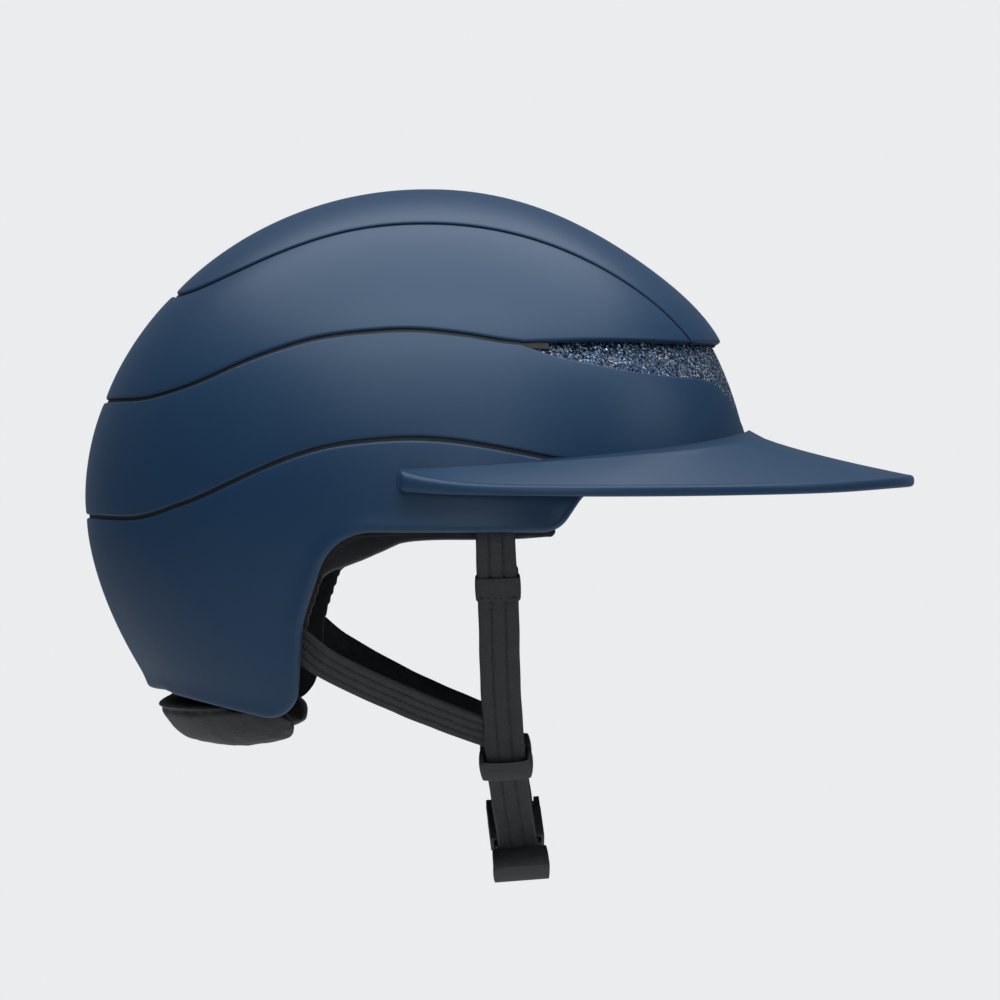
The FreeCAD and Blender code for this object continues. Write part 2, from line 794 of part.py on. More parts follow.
full = "Sizes.buckle_wide"
gap = size("mouth_gap") / 2
wide, cheek = size("buckle_wide"), size("cheek_wide")
plug_y = -gap - size("plug_long") / 2
plug_body = box("plug_body", full, "Sizes.plug_long", "Sizes.buckle_thick", V(0, plug_y, 0))
bar_y = -size("plug_bar")
rail_long = "Sizes.plug_bar + Sizes.bar_radius + Sizes.strap_thick + 2.9 - Sizes.plug_long"
rail_end = -(size("plug_bar") + size("bar_radius") + strap + 2.9)
rails = []
for sign in (-1, 1):
    rail_y = (rail_end - size("plug_long")) / 2
    rails.append(box(f"plug_rail_{'a' if sign < 0 else 'b'}", "Sizes.cheek_wide", rail_long, "5.2",
                     V(sign * (wide - cheek) / 2, rail_y, 0)))
plug_end = box("plug_end", full, "1.7", "5.2", V(0, rail_end + 0.85, 0))
bar_turn = Rotation(V(0, 0, 1), EAST)
plug_bar = cylinder("plug_bar", "Sizes.bar_radius", "Sizes.buckle_wide - 2",
                    Placement(V(-wide / 2 + 1, bar_y, 0), bar_turn))
plug_raw = fuse("plug_raw", [plug_body, *rails, plug_end, plug_bar])
prong_x = wide / 2 - size("buckle_wall") - size("prong_wide") / 2 - 0.35
slots = []
for sign, name in ((-1, "rear"), (1, "front")):
    slot_y = -gap - (size("plug_long") - 0.6) / 2 + 0.01
    slots.append(box(f"plug_slot_{name}", "Sizes.prong_wide + 0.8", "Sizes.plug_long - 0.6",
                     "Sizes.prong_thick + 0.5", V(sign * prong_x, slot_y, 0)))
slot_set = fuse("plug_slots", slots)
PARTS["buckle_plug"] = cut("buckle_plug", plug_raw, slot_set, BUCKLE)

socket_y = gap + size("socket_long") / 2
socket_body = box("socket_body", full, "Sizes.socket_long", "Sizes.buckle_thick", V(0, socket_y, 0))
cavity = box("socket_cavity", "Sizes.buckle_wide - 2 * Sizes.buckle_wall", "Sizes.socket_long - 1.2",
             "Sizes.buckle_thick - 2 * Sizes.buckle_wall", V(0, socket_y - 0.6 - 0.3, 0))
window = box("socket_window", "Sizes.buckle_wide + 4", "6.6", "Sizes.prong_thick + 0.6", V(0, 9.4, 0))
socket_rails = []
for sign in (-1, 1):
    rail = "Sizes.socket_bar - Sizes.socket_long + 2.4"
    rail_y = gap + size("socket_long") + (size("socket_bar") - size("socket_long") + 2.4) / 2 - 0.3
    socket_rails.append(box(f"socket_rail_{'a' if sign < 0 else 'b'}", "Sizes.cheek_wide", rail, "5.2",
                            V(sign * (wide - cheek) / 2, rail_y, 0)))
socket_bar = cylinder("socket_bar", "Sizes.bar_radius", "Sizes.buckle_wide - 2",
                      Placement(V(-wide / 2 + 1, size("socket_bar"), 0), bar_turn))
socket_raw = fuse("socket_raw", [socket_body, *socket_rails, socket_bar])
socket_tools = fuse("socket_tools", [cavity, window])
PARTS["buckle_socket"] = cut("buckle_socket", socket_raw, socket_tools, BUCKLE)

# the prongs: a round root in the plug's slot, a straight arm and a nose that stands in the socket's window
root_y = -gap - 1.6
for sign, name in ((-1, "rear"), (1, "front")):
    reach = size("prong_long")
    arm = box(f"prong_{name}_arm", "Sizes.prong_wide * 0.7", "Sizes.prong_long + 1.6", "Sizes.prong_thick",
              V(sign * (prong_x - 0.2), root_y + (reach + 1.6) / 2, 0))
    nose = box(f"prong_{name}_nose", "Sizes.prong_wide + 1.4", "5.4", "Sizes.prong_thick",
               V(sign * (prong_x + 0.9), 9.4, 0))
    root = cylinder(f"prong_{name}_root", "Sizes.prong_wide / 2", "Sizes.prong_thick",
                    Placement(V(sign * prong_x, root_y, -size("prong_thick") / 2), Rotation()))
    PARTS[f"buckle_prong_{name}"] = fuse(f"buckle_prong_{name}", [arm, nose, root], BUCKLE)

# ---------------------------------------------------------------- foam and pads

foam_out = base_in + 0.2
foam_in = foam_out + size("foam_wall")
foam = layer(foam_out, foam_in).cut(below_rim(size("foam_setback")))
for pocket in pockets:
    foam = foam.cut(pocket)
feature("impact_liner", biggest(foam))

patch_in = foam_in + 0.9
pad_out = patch_in + 0.1
pad_in = pad_out + size("pad_wall")
pads = layer(pad_out, pad_in)
feature("crown_pad", biggest(pads.common(block(fore(-52), fore(60), -aside(38), aside(38), aloft(60), FAR))))
feature("brow_pad", biggest(pads.common(block(fore(38), FAR, -aside(90), aside(90), aloft(14), aloft(40)))))
for side, y0, y1 in (("left", aside(40), FAR), ("right", -FAR, -aside(40))):
    feature(f"side_pad_{side}", biggest(pads.common(block(fore(-62), fore(26), y0, y1, aloft(2), aloft(34)))))

patch_wall = layer(foam_in + 0.1, patch_in)
spots = [(V(fore(-28), 0, aloft(60)), V(0, 0, 1)), (V(fore(36), 0, aloft(60)), V(0, 0, 1))]
for y in (-46, 0, 46):
    spots.append((V(fore(60), aside(y * 0.6), aloft(27)), V(1, y / 60, 0)))
for sign in (-1, 1):
    for x in (-42, 6):
        spots.append((V(fore(x), sign * aside(50), aloft(18)), V(0, sign, 0)))
patches = [biggest(patch_wall.common(Part.makeCylinder(9, 70, start, way))) for start, way in spots]
feature("hook_patches", Part.makeCompound(patches))

nape_corners = ((-220, -70.2, 0), (-104, -69.4, 20), (-53.5, -78.6, 3), (-47.5, -96, 8), (-72, -96.5, 25),
                (-104, -88, 14), (-220, -76, 0))
hem = size("rear_rim") - DRAWN_RIM
nape_corners = [(fore(x), z + hem, radius) for x, z, radius in nape_corners]
nape_edges = rounded_edges(nape_corners)
nape_edges.append(Part.makeLine(at(nape_corners[-1]), at(nape_corners[0])))
feature("nape_pad", biggest(layer(base_in + 0.6, base_in + 13.6).common(prism(nape_edges))))

lining_wall = layer(base_in + 2.6, base_in + 5.0)
lining = lining_wall.cut(below_rim(-2.4)).common(below_rim(size("foam_setback") - 0.6))
for pocket in pockets:
    lining = lining.cut(pocket)
for side, y0, y1 in (("left", 30, 150), ("right", -150, -30)):
    feature(f"ear_lining_{side}", biggest(lining.common(block(-54, 56, y0, y1, -64, 20))))

# ---------------------------------------------------------------- checks and export

doc.recompute()
for obj in doc.Objects:
    if "Invalid" in obj.State or "Error" in obj.State:
        raise RuntimeError(f"{obj.Name}: {obj.State}")
for label, obj in PARTS.items():
    shape = obj.Shape
    if shape.isNull() or not shape.isValid() or not shape.Solids or shape.Volume < 1:
        raise RuntimeError(f"{label} has no sound shape")

os.makedirs("parts", exist_ok=True)
for label, obj in PARTS.items():
    obj.Label = label
    obj.Shape.exportStep(os.path.join("parts", label + ".step"))
print(len(PARTS), "nodes")
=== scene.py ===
"""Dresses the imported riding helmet: shell panels, glitter band, brim, pads, harness and buckle.

The working numbers are millimetres in the row frame and turn into metres as a mesh is filled in.
"""

import math
import random

import bmesh
import bpy
from mathutils import Matrix, Vector, kdtree, noise


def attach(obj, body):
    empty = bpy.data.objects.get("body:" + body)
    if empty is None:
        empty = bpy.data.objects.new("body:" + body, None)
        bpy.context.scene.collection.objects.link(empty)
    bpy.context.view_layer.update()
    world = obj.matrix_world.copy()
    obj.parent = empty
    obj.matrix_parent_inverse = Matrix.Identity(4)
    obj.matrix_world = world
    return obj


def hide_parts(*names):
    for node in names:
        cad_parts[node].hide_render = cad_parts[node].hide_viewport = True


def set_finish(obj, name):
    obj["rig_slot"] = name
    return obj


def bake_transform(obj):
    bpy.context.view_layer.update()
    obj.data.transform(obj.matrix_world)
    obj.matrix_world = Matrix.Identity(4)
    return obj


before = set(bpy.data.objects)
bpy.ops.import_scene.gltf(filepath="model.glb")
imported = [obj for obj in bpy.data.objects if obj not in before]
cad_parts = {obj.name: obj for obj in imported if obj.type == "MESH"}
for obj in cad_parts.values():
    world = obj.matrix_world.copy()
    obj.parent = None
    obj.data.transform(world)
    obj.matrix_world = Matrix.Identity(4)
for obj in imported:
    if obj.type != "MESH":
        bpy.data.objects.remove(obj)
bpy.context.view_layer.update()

bl_info = {
    "name": "Riding Helmet",
    "version": (1, 0, 0),
    "blender": (4, 5, 0),
    "location": "View3D > Sidebar > Helmet",
    "description": "Builds a riding helmet with a wide brim and a buckled harness",
    "category": "Object",
}

MM = 0.001
WELD = 2e-6  # metres under which two points of a mesh are one
SIDES = (("left", 1), ("right", -1))


# ---------------------------------------------------------------- settings


def length(name, text, default):
    """A length setting in metres."""
    return bpy.props.FloatProperty(name=name, description=text, default=default * MM, min=0, unit="LENGTH",
                                   precision=4)


def colour(name, text, default):
    """A colour setting."""
    return bpy.props.FloatVectorProperty(name=name, description=text, default=default, min=0, max=1, size=3,
                                         subtype="COLOR")


class HelmetShape(bpy.types.PropertyGroup):
    """Sizes of the shell and what is on it."""

    rear: length("Rear", "Origin to the back of the shell", 135.0)
    front: length("Front", "Origin to the forehead", 137.8)
    half_width: length("Half width", "Centre plane to the side of the shell", 106.0)
    crown: length("Crown", "Height of the shell over the girth", 127.1)
    crown_ahead: length("Crown ahead", "How far forward the crown lies", 5.0)
    nape: length("Nape", "Depth of the rear rim", 78.7)
    wall: length("Panel wall", "Thickness of the shell panels", 3.0)
    gap: length("Seam gap", "Width of the gaps between panels", 1.4)
    edge: length("Panel edge", "Radius of the panel edges", 0.9)
    pillow: length("Pillow", "How far a panel sinks towards its edges", 0.35)
    rim: length("Rim radius", "Radius of the shell's lower rim", 2.4)
    brim_tip: length("Brim tip", "Origin to the tip of the brim", 203.8)
    brim_half: length("Brim half width", "Centre plane to the side of the brim", 118.0)


class HelmetFinish(bpy.types.PropertyGroup):
    """Colours and roughness of the finishes."""

    paint: colour("Paint", "Matte paint of the shell", (0.0072, 0.029, 0.070))
    paint_rough: bpy.props.FloatProperty(name="Paint roughness", description="Roughness of the paint",
                                         default=0.42, min=0, max=1, subtype="FACTOR")
    glitter_dark: colour("Glitter ground", "Ground of the glitter band", (0.006, 0.012, 0.028))
    glitter_blue: colour("Glitter blue", "Blue flakes", (0.10, 0.22, 0.42))
    leather: colour("Leather", "Black leather of the harness", (0.016, 0.0165, 0.018))
    cloth: colour("Pad cloth", "Cloth of the inner pads", (0.014, 0.0145, 0.017))
    plastic: colour("Plastic", "Moulded black plastic", (0.012, 0.012, 0.0135))


class HarnessShape(bpy.types.PropertyGroup):
    """Sizes of the harness."""

    strap: length("Strap width", "Width of the front strap", 16.0)
    rear_strap: length("Rear strap width", "Width of the rear strap", 13.5)
    thick: length("Strap thickness", "Thickness of a strap", 2.4)
    stitch: length("Stitch", "Length of one stitch", 2.1)
    stitch_step: length("Stitch step", "Distance from stitch to stitch", 3.1)


def shape():
    """The shell's settings, each in millimetres."""
    group = bpy.context.scene.helmet_shape
    return {key: getattr(group, key) / MM for key in HelmetShape.__annotations__}


def harness():
    """The harness settings, each in millimetres."""
    group = bpy.context.scene.helmet_harness
    return {key: getattr(group, key) / MM for key in HarnessShape.__annotations__}


# ---------------------------------------------------------------- the shell's form

# inner control points of each meridian, as shares of its reach and of the crown's height
REAR = ((1.0, 0.50), (0.58, 1.0))
SIDE = ((1.0, 0.56), (0.58, 1.0))
FRONT = ((1.0, 0.757), (0.706, 0.549), (0.602, 1.0))
PLAN_POWER = 2.2
NAPE_TUCK, SIDE_TUCK, BROW_TUCK = 0.215, 0.16, 0.02
TUCK_POWER = 1.85
FORM = {}


def meridian(reach, inner, climb):
    """(outwards, up) on a meridian; climb runs from 0 at the girth to 1 at the crown."""
    points = [(1.0, 0.0), *inner, (0.0, 1.0)]
    while len(points) > 1:
        points = [(p[0] + (q[0] - p[0]) * climb, p[1] + (q[1] - p[1]) * climb)
                  for p, q in zip(points, points[1:])]
    return reach * points[0][0], FORM["crown"] * points[0][1]


def spans(around, climb):
    """(lengthways reach, its height, sideways reach, its height) of the ring at this climb."""
    fore = math.cos(around) > 0
    reach = FORM["front"] - FORM["crown_ahead"] if fore else FORM["rear"] + FORM["crown_ahead"]
    side = FORM["half_width"]
    if climb >= 0:
        return *meridian(reach, FRONT if fore else REAR, climb), *meridian(side, SIDE, climb)
    tuck = (-climb) ** TUCK_POWER
    share = BROW_TUCK if fore else NAPE_TUCK * FORM["rear"] / reach
    up = climb * FORM["nape"]
    return reach * (1 - share * tuck), up, side * (1 - SIDE_TUCK * tuck), up


def form(around, climb):
    """A point of the outer form: around is 0 at the front and pi at the back."""
    c, s = math.cos(around), math.sin(around)
    r = (abs(c) ** PLAN_POWER + abs(s) ** PLAN_POWER) ** (-1.0 / PLAN_POWER)
    end_out, end_up, side_out, side_up = spans(around, climb)
    return Vector((FORM["crown_ahead"] + end_out * r * c, side_out * r * s, end_up * c * c + side_up * s * s))


def normal(around, climb):
    """The outward normal of the form."""
    if climb > 0.9995:
        return Vector((0, 0, 1))
    step = 1e-3
    along = form(around + step, climb) - form(around - step, climb)
    up = form(around, climb + step) - form(around, climb - step)
    return along.cross(up).normalized()


def climb_at(around, z):
    """The climb at which the form reaches height z."""
    lo, hi = -1.3, 1.0
    for _ in range(28):
        climb = (lo + hi) / 2
        lo, hi = (climb, hi) if form(around, climb).z < z else (lo, climb)
    return climb


def on_wall(x, z):
    """(around, climb) of the left-hand wall at this x and height."""
    around, climb = math.pi / 2, 0.0
    for _ in range(8):
        climb = climb_at(around, z)
        lo, hi = 0.0, math.pi
        for _ in range(26):
            around = (lo + hi) / 2
            lo, hi = (around, hi) if form(around, climb).x > x else (lo, around)
    return around, climb


def on_top(x, y):
    """(around, climb) of the form straight above this point of the plan."""
    dx = x - FORM["crown_ahead"]
    reach = math.hypot(dx, y)
    if reach < 1e-6:
        return 0.0, 1.0
    lo, hi, around = 0.0, 1.0, 0.0
    for _ in range(26):
        climb = (lo + hi) / 2
        end_out, _, side_out, _ = spans(0.0 if dx > 0 else math.pi, climb)
        around = math.atan2(y / max(side_out, 1e-9), dx / max(end_out, 1e-9))
        p = form(around, climb)
        wide = math.hypot(p.x - FORM["crown_ahead"], p.y) > reach
        lo, hi = (climb, hi) if wide else (lo, climb)
    return around, (lo + hi) / 2


def smooth(table, x):
    """A smooth curve through (x, value) pairs."""
    if x <= table[0][0]:
        return table[0][1]
    for i, (p, q) in enumerate(zip(table, table[1:])):
        if x <= q[0]:
            o = table[i - 1] if i else p
            r = table[i + 2] if i + 2 < len(table) else q
            run = q[0] - p[0]
            slope_p = (q[1] - o[1]) / (q[0] - o[0])
            slope_q = (r[1] - p[1]) / (r[0] - p[0])
            t = (x - p[0]) / run
            return ((2 * t**3 - 3 * t * t + 1) * p[1] + (t**3 - 2 * t * t + t) * run * slope_p
                    + (3 * t * t - 2 * t**3) * q[1] + (t**3 - t * t) * run * slope_q)
    return table[-1][1]


# seams as (x, z), back to front, and the glitter band's edges as (degrees round, height), out to BAND_END
SEAM_UPPER = ((-150, 41), (-124, 40.4), (-107.6, 40.4), (-94.4, 43.2), (-82, 47.3), (-69.6, 52.6),
              (-57.4, 57.2), (-39.3, 62.5), (-21.8, 65.1), (0, 66.2), (20, 64.4), (35.2, 62), (47.5, 60.8),
              (60, 60))
SEAM_MIDDLE = ((-160, -6.6), (-132, -6.7), (-113, -7.4), (-103, -5.9), (-93.6, -2.7), (-84, 0.6),
               (-70.5, 6.6), (-56.7, 12.7), (-43.4, 17.7), (-30, 21.2), (-12.5, 23.3), (2, 23.8), (15, 23),
               (28.6, 21), (42, 18.5), (58, 15.5), (80, 13), (110, 12), (160, 12))
BAND_LOW = ((0, 16), (11.5, 17), (13, 22), (14.5, 28.3), (18.1, 34.2), (21.4, 40.1), (26.4, 45.9),
            (30.7, 48.0), (40.8, 48.9), (51, 50.8), (59.8, 53.9), (65.3, 56.3), (71.5, 60.4))
BAND_HIGH = ((0, 64.6), (12, 64.3), (22, 63.6), (32, 63.1), (45, 63.2), (55, 62.9), (65, 62.1), (71.5, 61.6))
BAND_END = 71.5
CROWN_WIDE, CROWN_TAIL, CROWN_BACK = 54.5, 68.5, 30.0


def on_seam(table, around, shift):
    """(around, climb) of a seam at this bearing, shifted across the seam."""
    climb = 0.2
    for _ in range(6):
        x = form(around, climb).x
        slope = (smooth(table, x + 1) - smooth(table, x - 1)) / 2
        climb = climb_at(around, smooth(table, x) + shift * math.hypot(1, slope))
    return around, climb


def crown_plan(grow, count=90):
    """The crown panel's edge in plan on the left, from the back to the front."""
    wide, long = CROWN_WIDE + grow, CROWN_TAIL + grow
    points = []
    for i in range(count):
        turn = (i / (count - 1)) ** 1.5 * math.pi / 2
        points.append((-CROWN_BACK - long * math.cos(turn) ** (2 / 3), wide * math.sin(turn) ** (2 / 3)))
    for i in range(1, count):
        x = -CROWN_BACK + 150 * i / (count - 1)
        points.append((x, wide - 5.5 * (max(x - 20, 0) / 92) ** 2))
    return points


def crown_edge(grow):
    """The crown panel's side edge as (around, climb), from the back to the band's upper edge."""
    edge = []
    for x, y in crown_plan(grow):
        around, climb = on_top(x, y)
        if form(around, climb).z < smooth(BAND_HIGH, math.degrees(around)) and x > 60:
            break
        edge.append((around, climb))
    return edge


def resample(edge, count):
    """The same curve of (around, climb) with evenly spaced points."""
    places = [form(*p) for p in edge]
    sums = [0.0]
    for p, q in zip(places, places[1:]):
        sums.append(sums[-1] + (q - p).length)
    out, i = [], 0
    for k in range(count):
        want = sums[-1] * k / (count - 1)
        while i < len(sums) - 2 and sums[i + 1] < want:
            i += 1
        t = (want - sums[i]) / max(sums[i + 1] - sums[i], 1e-9)
        a, b = edge[i], edge[i + 1]
        out.append((a[0] + (b[0] - a[0]) * t, a[1] + (b[1] - a[1]) * t))
    return out


# ---------------------------------------------------------------- mesh helpers


def new_object(name, bm, material, slot_name, smooth_shade=True):
    """A finished mesh object from a bmesh."""
    mesh = bpy.data.meshes.new(name)
    bm.to_mesh(mesh)
    bm.free()
    obj = bpy.data.objects.new(name, mesh)
    bpy.context.scene.collection.objects.link(obj)
    mesh.polygons.foreach_set("use_smooth", [smooth_shade] * len(mesh.polygons))
    mesh.materials.append(material)
    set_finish(obj, slot_name)
    return obj


def dress(obj, body, *nodes):
    """Puts a piece on its body in place of CAD nodes."""
    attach(obj, body)
    if nodes:
        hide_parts(*nodes)
    return obj


def mapped_grid(columns, rows, place, loop_rows=False, loop_columns=False):
    """A grid whose vertex (column, row) moves to place(column, row); a loop joins its last to its first."""
    bm = bmesh.new()
    wide, tall = columns - (0 if loop_columns else 1), rows - (0 if loop_rows else 1)
    uv = bm.loops.layers.uv.new("UVMap")
    grid = bmesh.ops.create_grid(bm, x_segments=wide, y_segments=tall, size=1.0)
    spots = {}
    for v in grid["verts"]:
        spots[v] = (round((v.co.x + 1) / 2 * wide), round((v.co.y + 1) / 2 * tall))
    for face in bm.faces:
        for loop in face.loops:
            i, j = spots[loop.vert]
            loop[uv].uv = (i / wide, j / tall)
    for v, (i, j) in spots.items():
        v.co = Vector(place(i % columns, j % rows)) * MM
    return bm


def close_up(bm, mirror=False):
    """Merges seams and poles, mirrors the left half to the right, and turns the faces outwards."""
    bmesh.ops.remove_doubles(bm, verts=bm.verts, dist=WELD)
    if mirror:
        for v in bm.verts:
            if abs(v.co.y) < 5e-6:
                v.co.y = 0.0
        geom = bm.verts[:] + bm.edges[:] + bm.faces[:]
        bmesh.ops.mirror(bm, geom=geom, axis="Y", merge_dist=1e-6)
        bmesh.ops.remove_doubles(bm, verts=bm.verts, dist=WELD)
    bmesh.ops.dissolve_degenerate(bm, dist=1e-7, edges=bm.edges)
    bmesh.ops.recalc_face_normals(bm, faces=bm.faces)


# how far a panel's close rows lie from its edge
EDGE_ROWS = (0.0, 0.05, 0.16, 0.34, 0.58, 0.9, 1.3, 1.9, 2.8, 4.2, 6.5)
# rows across a panel's inner wall, and how far in from an edge the panel begins to sink
INNER_ROWS = 7
PILLOW_REACH = 5.0
# height and width of the lower rim's roll
RIM_ROLL, RIM_ROLL_WIDE = 1.1, 5.0


def rounding(distance, radius):
    """How far a rounded edge lies below the face at this distance from it."""
    if distance >= radius:
        return 0.0
    return radius - math.sqrt(max(radius * radius - (radius - distance) ** 2, 0.0))


def edge_finder(lines):
    """A tree of points every fifth of a millimetre along lines of (around, climb)."""
    points = []
    for line in lines:
        places = [form(*p) for p in line]
        for p, q in zip(places, places[1:]):
            steps = max(1, int((q - p).length / 0.2))
            points += [p.lerp(q, k / steps) for k in range(steps)]
        points.append(places[-1])
    tree = kdtree.KDTree(len(points))
    for i, p in enumerate(points):
        tree.insert(p, i)
    tree.balance()
    return tree


def between(a, b, t):
    """The (around, climb) this share of the way from a to b."""
    return a[0] + (b[0] - a[0]) * t, a[1] + (b[1] - a[1]) * t


def edge_depth(tree, here):
    """How far a panel's face sinks at a point, by its distance from the edges in the tree."""
    distance = tree.find(here)[2]
    return rounding(distance, FORM["edge"]) + FORM["pillow"] * math.exp(-distance / PILLOW_REACH)


def panel(low, high, edges, middle_rows=26, rim=None, depth_at=None, recess=0.0):
    """A walled panel of the left half between two curves of (around, climb), with rounded edges.

    depth_at(share, around) lays the face that far below the form instead, and recess moves the inner wall in.
    """
    tree = edge_finder(edges)
    rim_tree = edge_finder([rim]) if rim else None
    widths = [(form(*a) - form(*b)).length for a, b in zip(low, high)]
    fine = len(EDGE_ROWS)
    outer_rows = 2 * fine + middle_rows

    def share(i, j):
        span = max(widths[i], 1e-6)
        scale = min(1.0, 0.45 * span / EDGE_ROWS[-1]) / span
        last = EDGE_ROWS[-1] * scale
        if j < fine:
            return EDGE_ROWS[j] * scale
        if j >= fine + middle_rows:
            return 1 - EDGE_ROWS[outer_rows - 1 - j] * scale
        return last + (1 - 2 * last) * (j - fine + 1) / (middle_rows + 1)

    def place(i, j):
        if j < outer_rows:
            around, climb = between(low[i], high[i], share(i, j))
            here = form(around, climb)
            if depth_at:
                return here - normal(around, climb) * depth_at(share(i, j), around)
            depth = edge_depth(tree, here)
            if rim_tree:
                distance = rim_tree.find(here)[2]
                depth += rounding(distance, FORM["rim"])
                depth -= RIM_ROLL * math.exp(-((distance / RIM_ROLL_WIDE) ** 2))
            return here - normal(around, climb) * depth
        around, climb = between(low[i], high[i], 1 - (j - outer_rows) / (INNER_ROWS - 1))
        return form(around, climb) - normal(around, climb) * (FORM["wall"] + recess)

    return mapped_grid(len(low), outer_rows + INNER_ROWS, place, loop_rows=True)


def bearings(first, last, step, dense=()):
    """Bearings in degrees with a finer step in the dense stretches."""
    out, here = [first], first
    while here < last - 1e-6:
        fine = any(a <= here < b for a, b in dense)
        here = min(here + (step / 3 if fine else step), last)
        out.append(here)
    return out


# ---------------------------------------------------------------- finishes


def new_material(name, base, rough, **sockets):
    """A Principled material, its nodes and its shader."""
    material = bpy.data.materials.new(name)
    material.use_nodes = True
    tree = material.node_tree
    shader = tree.nodes["Principled BSDF"]
    shader.inputs["Base Color"].default_value = (*base, 1)
    shader.inputs["Roughness"].default_value = rough
    for key, value in sockets.items():
        shader.inputs[key.replace("_", " ")].default_value = value
    return material, tree, shader


def link(tree, source, target):
    """Joins two sockets."""
    tree.links.new(source, target)


def noise_node(tree, scale, detail):
    """A noise texture on object coordinates."""
    node = tree.nodes.new("ShaderNodeTexNoise")
    node.inputs["Scale"].default_value = scale
    node.inputs["Detail"].default_value = detail
    coordinates = tree.nodes.new("ShaderNodeTexCoord")
    link(tree, coordinates.outputs["Object"], node.inputs["Vector"])
    return node


def ramp_node(tree, source, stops):
    """A colour ramp over a factor."""
    node = tree.nodes.new("ShaderNodeValToRGB")
    while len(node.color_ramp.elements) < len(stops):
        node.color_ramp.elements.new(0.5)
    for element, (position, value) in zip(node.color_ramp.elements, stops):
        element.position = position
        element.color = (*value, 1) if isinstance(value, tuple) else (value, value, value, 1)
    link(tree, source, node.inputs["Fac"])
    return node


def range_node(tree, source, low, high):
    """Maps a 0 to 1 factor to low..high."""
    node = tree.nodes.new("ShaderNodeMapRange")
    node.inputs["To Min"].default_value = low
    node.inputs["To Max"].default_value = high
    link(tree, source, node.inputs["Value"])
    return node.outputs["Result"]


def bump_node(tree, shader, source, depth, chained=None):
    """A bump of this depth in metres."""
    node = tree.nodes.new("ShaderNodeBump")
    node.inputs["Strength"].default_value = 1.0
    node.inputs["Distance"].default_value = depth
    link(tree, source, node.inputs["Height"])
    if chained:
        link(tree, chained, node.inputs["Normal"])
    link(tree, node.outputs["Normal"], shader.inputs["Normal"])
    return node.outputs["Normal"]


def tinted(tree, shader, base, source, low, high):
    """Varies a base colour between two brightnesses."""
    dark, light = tuple(c * low for c in base), tuple(c * high for c in base)
    node = ramp_node(tree, source, [(0.3, dark), (0.7, light)])
    link(tree, node.outputs["Color"], shader.inputs["Base Color"])


def paint_finish(finish):
    """Soft matte paint with a fine texture."""
    base = tuple(finish.paint)
    material, tree, shader = new_material("matte_paint", base, finish.paint_rough, Specular_IOR_Level=0.42)
    shader.inputs["Coat Weight"].default_value = 0.10
    shader.inputs["Coat Roughness"].default_value = 0.30
    shader.inputs["Sheen Weight"].default_value = 0.05
    shader.inputs["Sheen Roughness"].default_value = 0.45
    shader.inputs["Sheen Tint"].default_value = (0.5, 0.7, 1.0, 1)
    shader.inputs["Specular Tint"].default_value = (0.60, 0.80, 1.0, 1)
    broad = noise_node(tree, 9.0, 2.0)
    tinted(tree, shader, base, broad.outputs["Fac"], 0.96, 1.04)
    fine = noise_node(tree, 2600.0, 2.0)
    link(tree, range_node(tree, fine.outputs["Fac"], finish.paint_rough - 0.05, finish.paint_rough + 0.06),
         shader.inputs["Roughness"])
    grain = bump_node(tree, shader, fine.outputs["Fac"], 0.000012)
    peel = noise_node(tree, 420.0, 1.0)
    bump_node(tree, shader, peel.outputs["Fac"], 0.000014, grain)
    return material


def glitter_finish(finish):
    """Tight flakes of silver, pale and blue over a dark ground, each tilted its own way."""
    dark, blue = tuple(finish.glitter_dark), tuple(finish.glitter_blue)
    material, tree, shader = new_material("glitter", dark, 0.22, Metallic=0.6)
    coordinates = tree.nodes.new("ShaderNodeTexCoord")
    cells = tree.nodes.new("ShaderNodeTexVoronoi")
    cells.inputs["Scale"].default_value = 1500.0
    link(tree, coordinates.outputs["Object"], cells.inputs["Vector"])
    parts = tree.nodes.new("ShaderNodeSeparateColor")
    link(tree, cells.outputs["Color"], parts.inputs["Color"])
    flakes = ramp_node(tree, parts.outputs["Red"], [
        (0.0, dark), (0.40, (0.008, 0.018, 0.04)), (0.62, (0.03, 0.07, 0.14)), (0.76, blue),
        (0.88, (0.26, 0.32, 0.40)), (0.97, (0.8, 0.85, 0.9))])
    link(tree, flakes.outputs["Color"], shader.inputs["Base Color"])
    link(tree, range_node(tree, parts.outputs["Green"], 0.08, 0.5), shader.inputs["Roughness"])
    geometry = tree.nodes.new("ShaderNodeNewGeometry")
    tilt = tree.nodes.new("ShaderNodeVectorMath")
    tilt.operation = "MULTIPLY_ADD"
    link(tree, cells.outputs["Color"], tilt.inputs[0])
    tilt.inputs[1].default_value = (1.5, 1.5, 1.5)
    tilt.inputs[2].default_value = (-0.75, -0.75, -0.75)
    total = tree.nodes.new("ShaderNodeVectorMath")
    total.operation = "ADD"
    link(tree, geometry.outputs["Normal"], total.inputs[0])
    link(tree, tilt.outputs["Vector"], total.inputs[1])
    unit = tree.nodes.new("ShaderNodeVectorMath")
    unit.operation = "NORMALIZE"
    link(tree, total.outputs["Vector"], unit.inputs[0])
    bump_node(tree, shader, parts.outputs["Blue"], 0.00018, unit.outputs["Vector"])
    return material


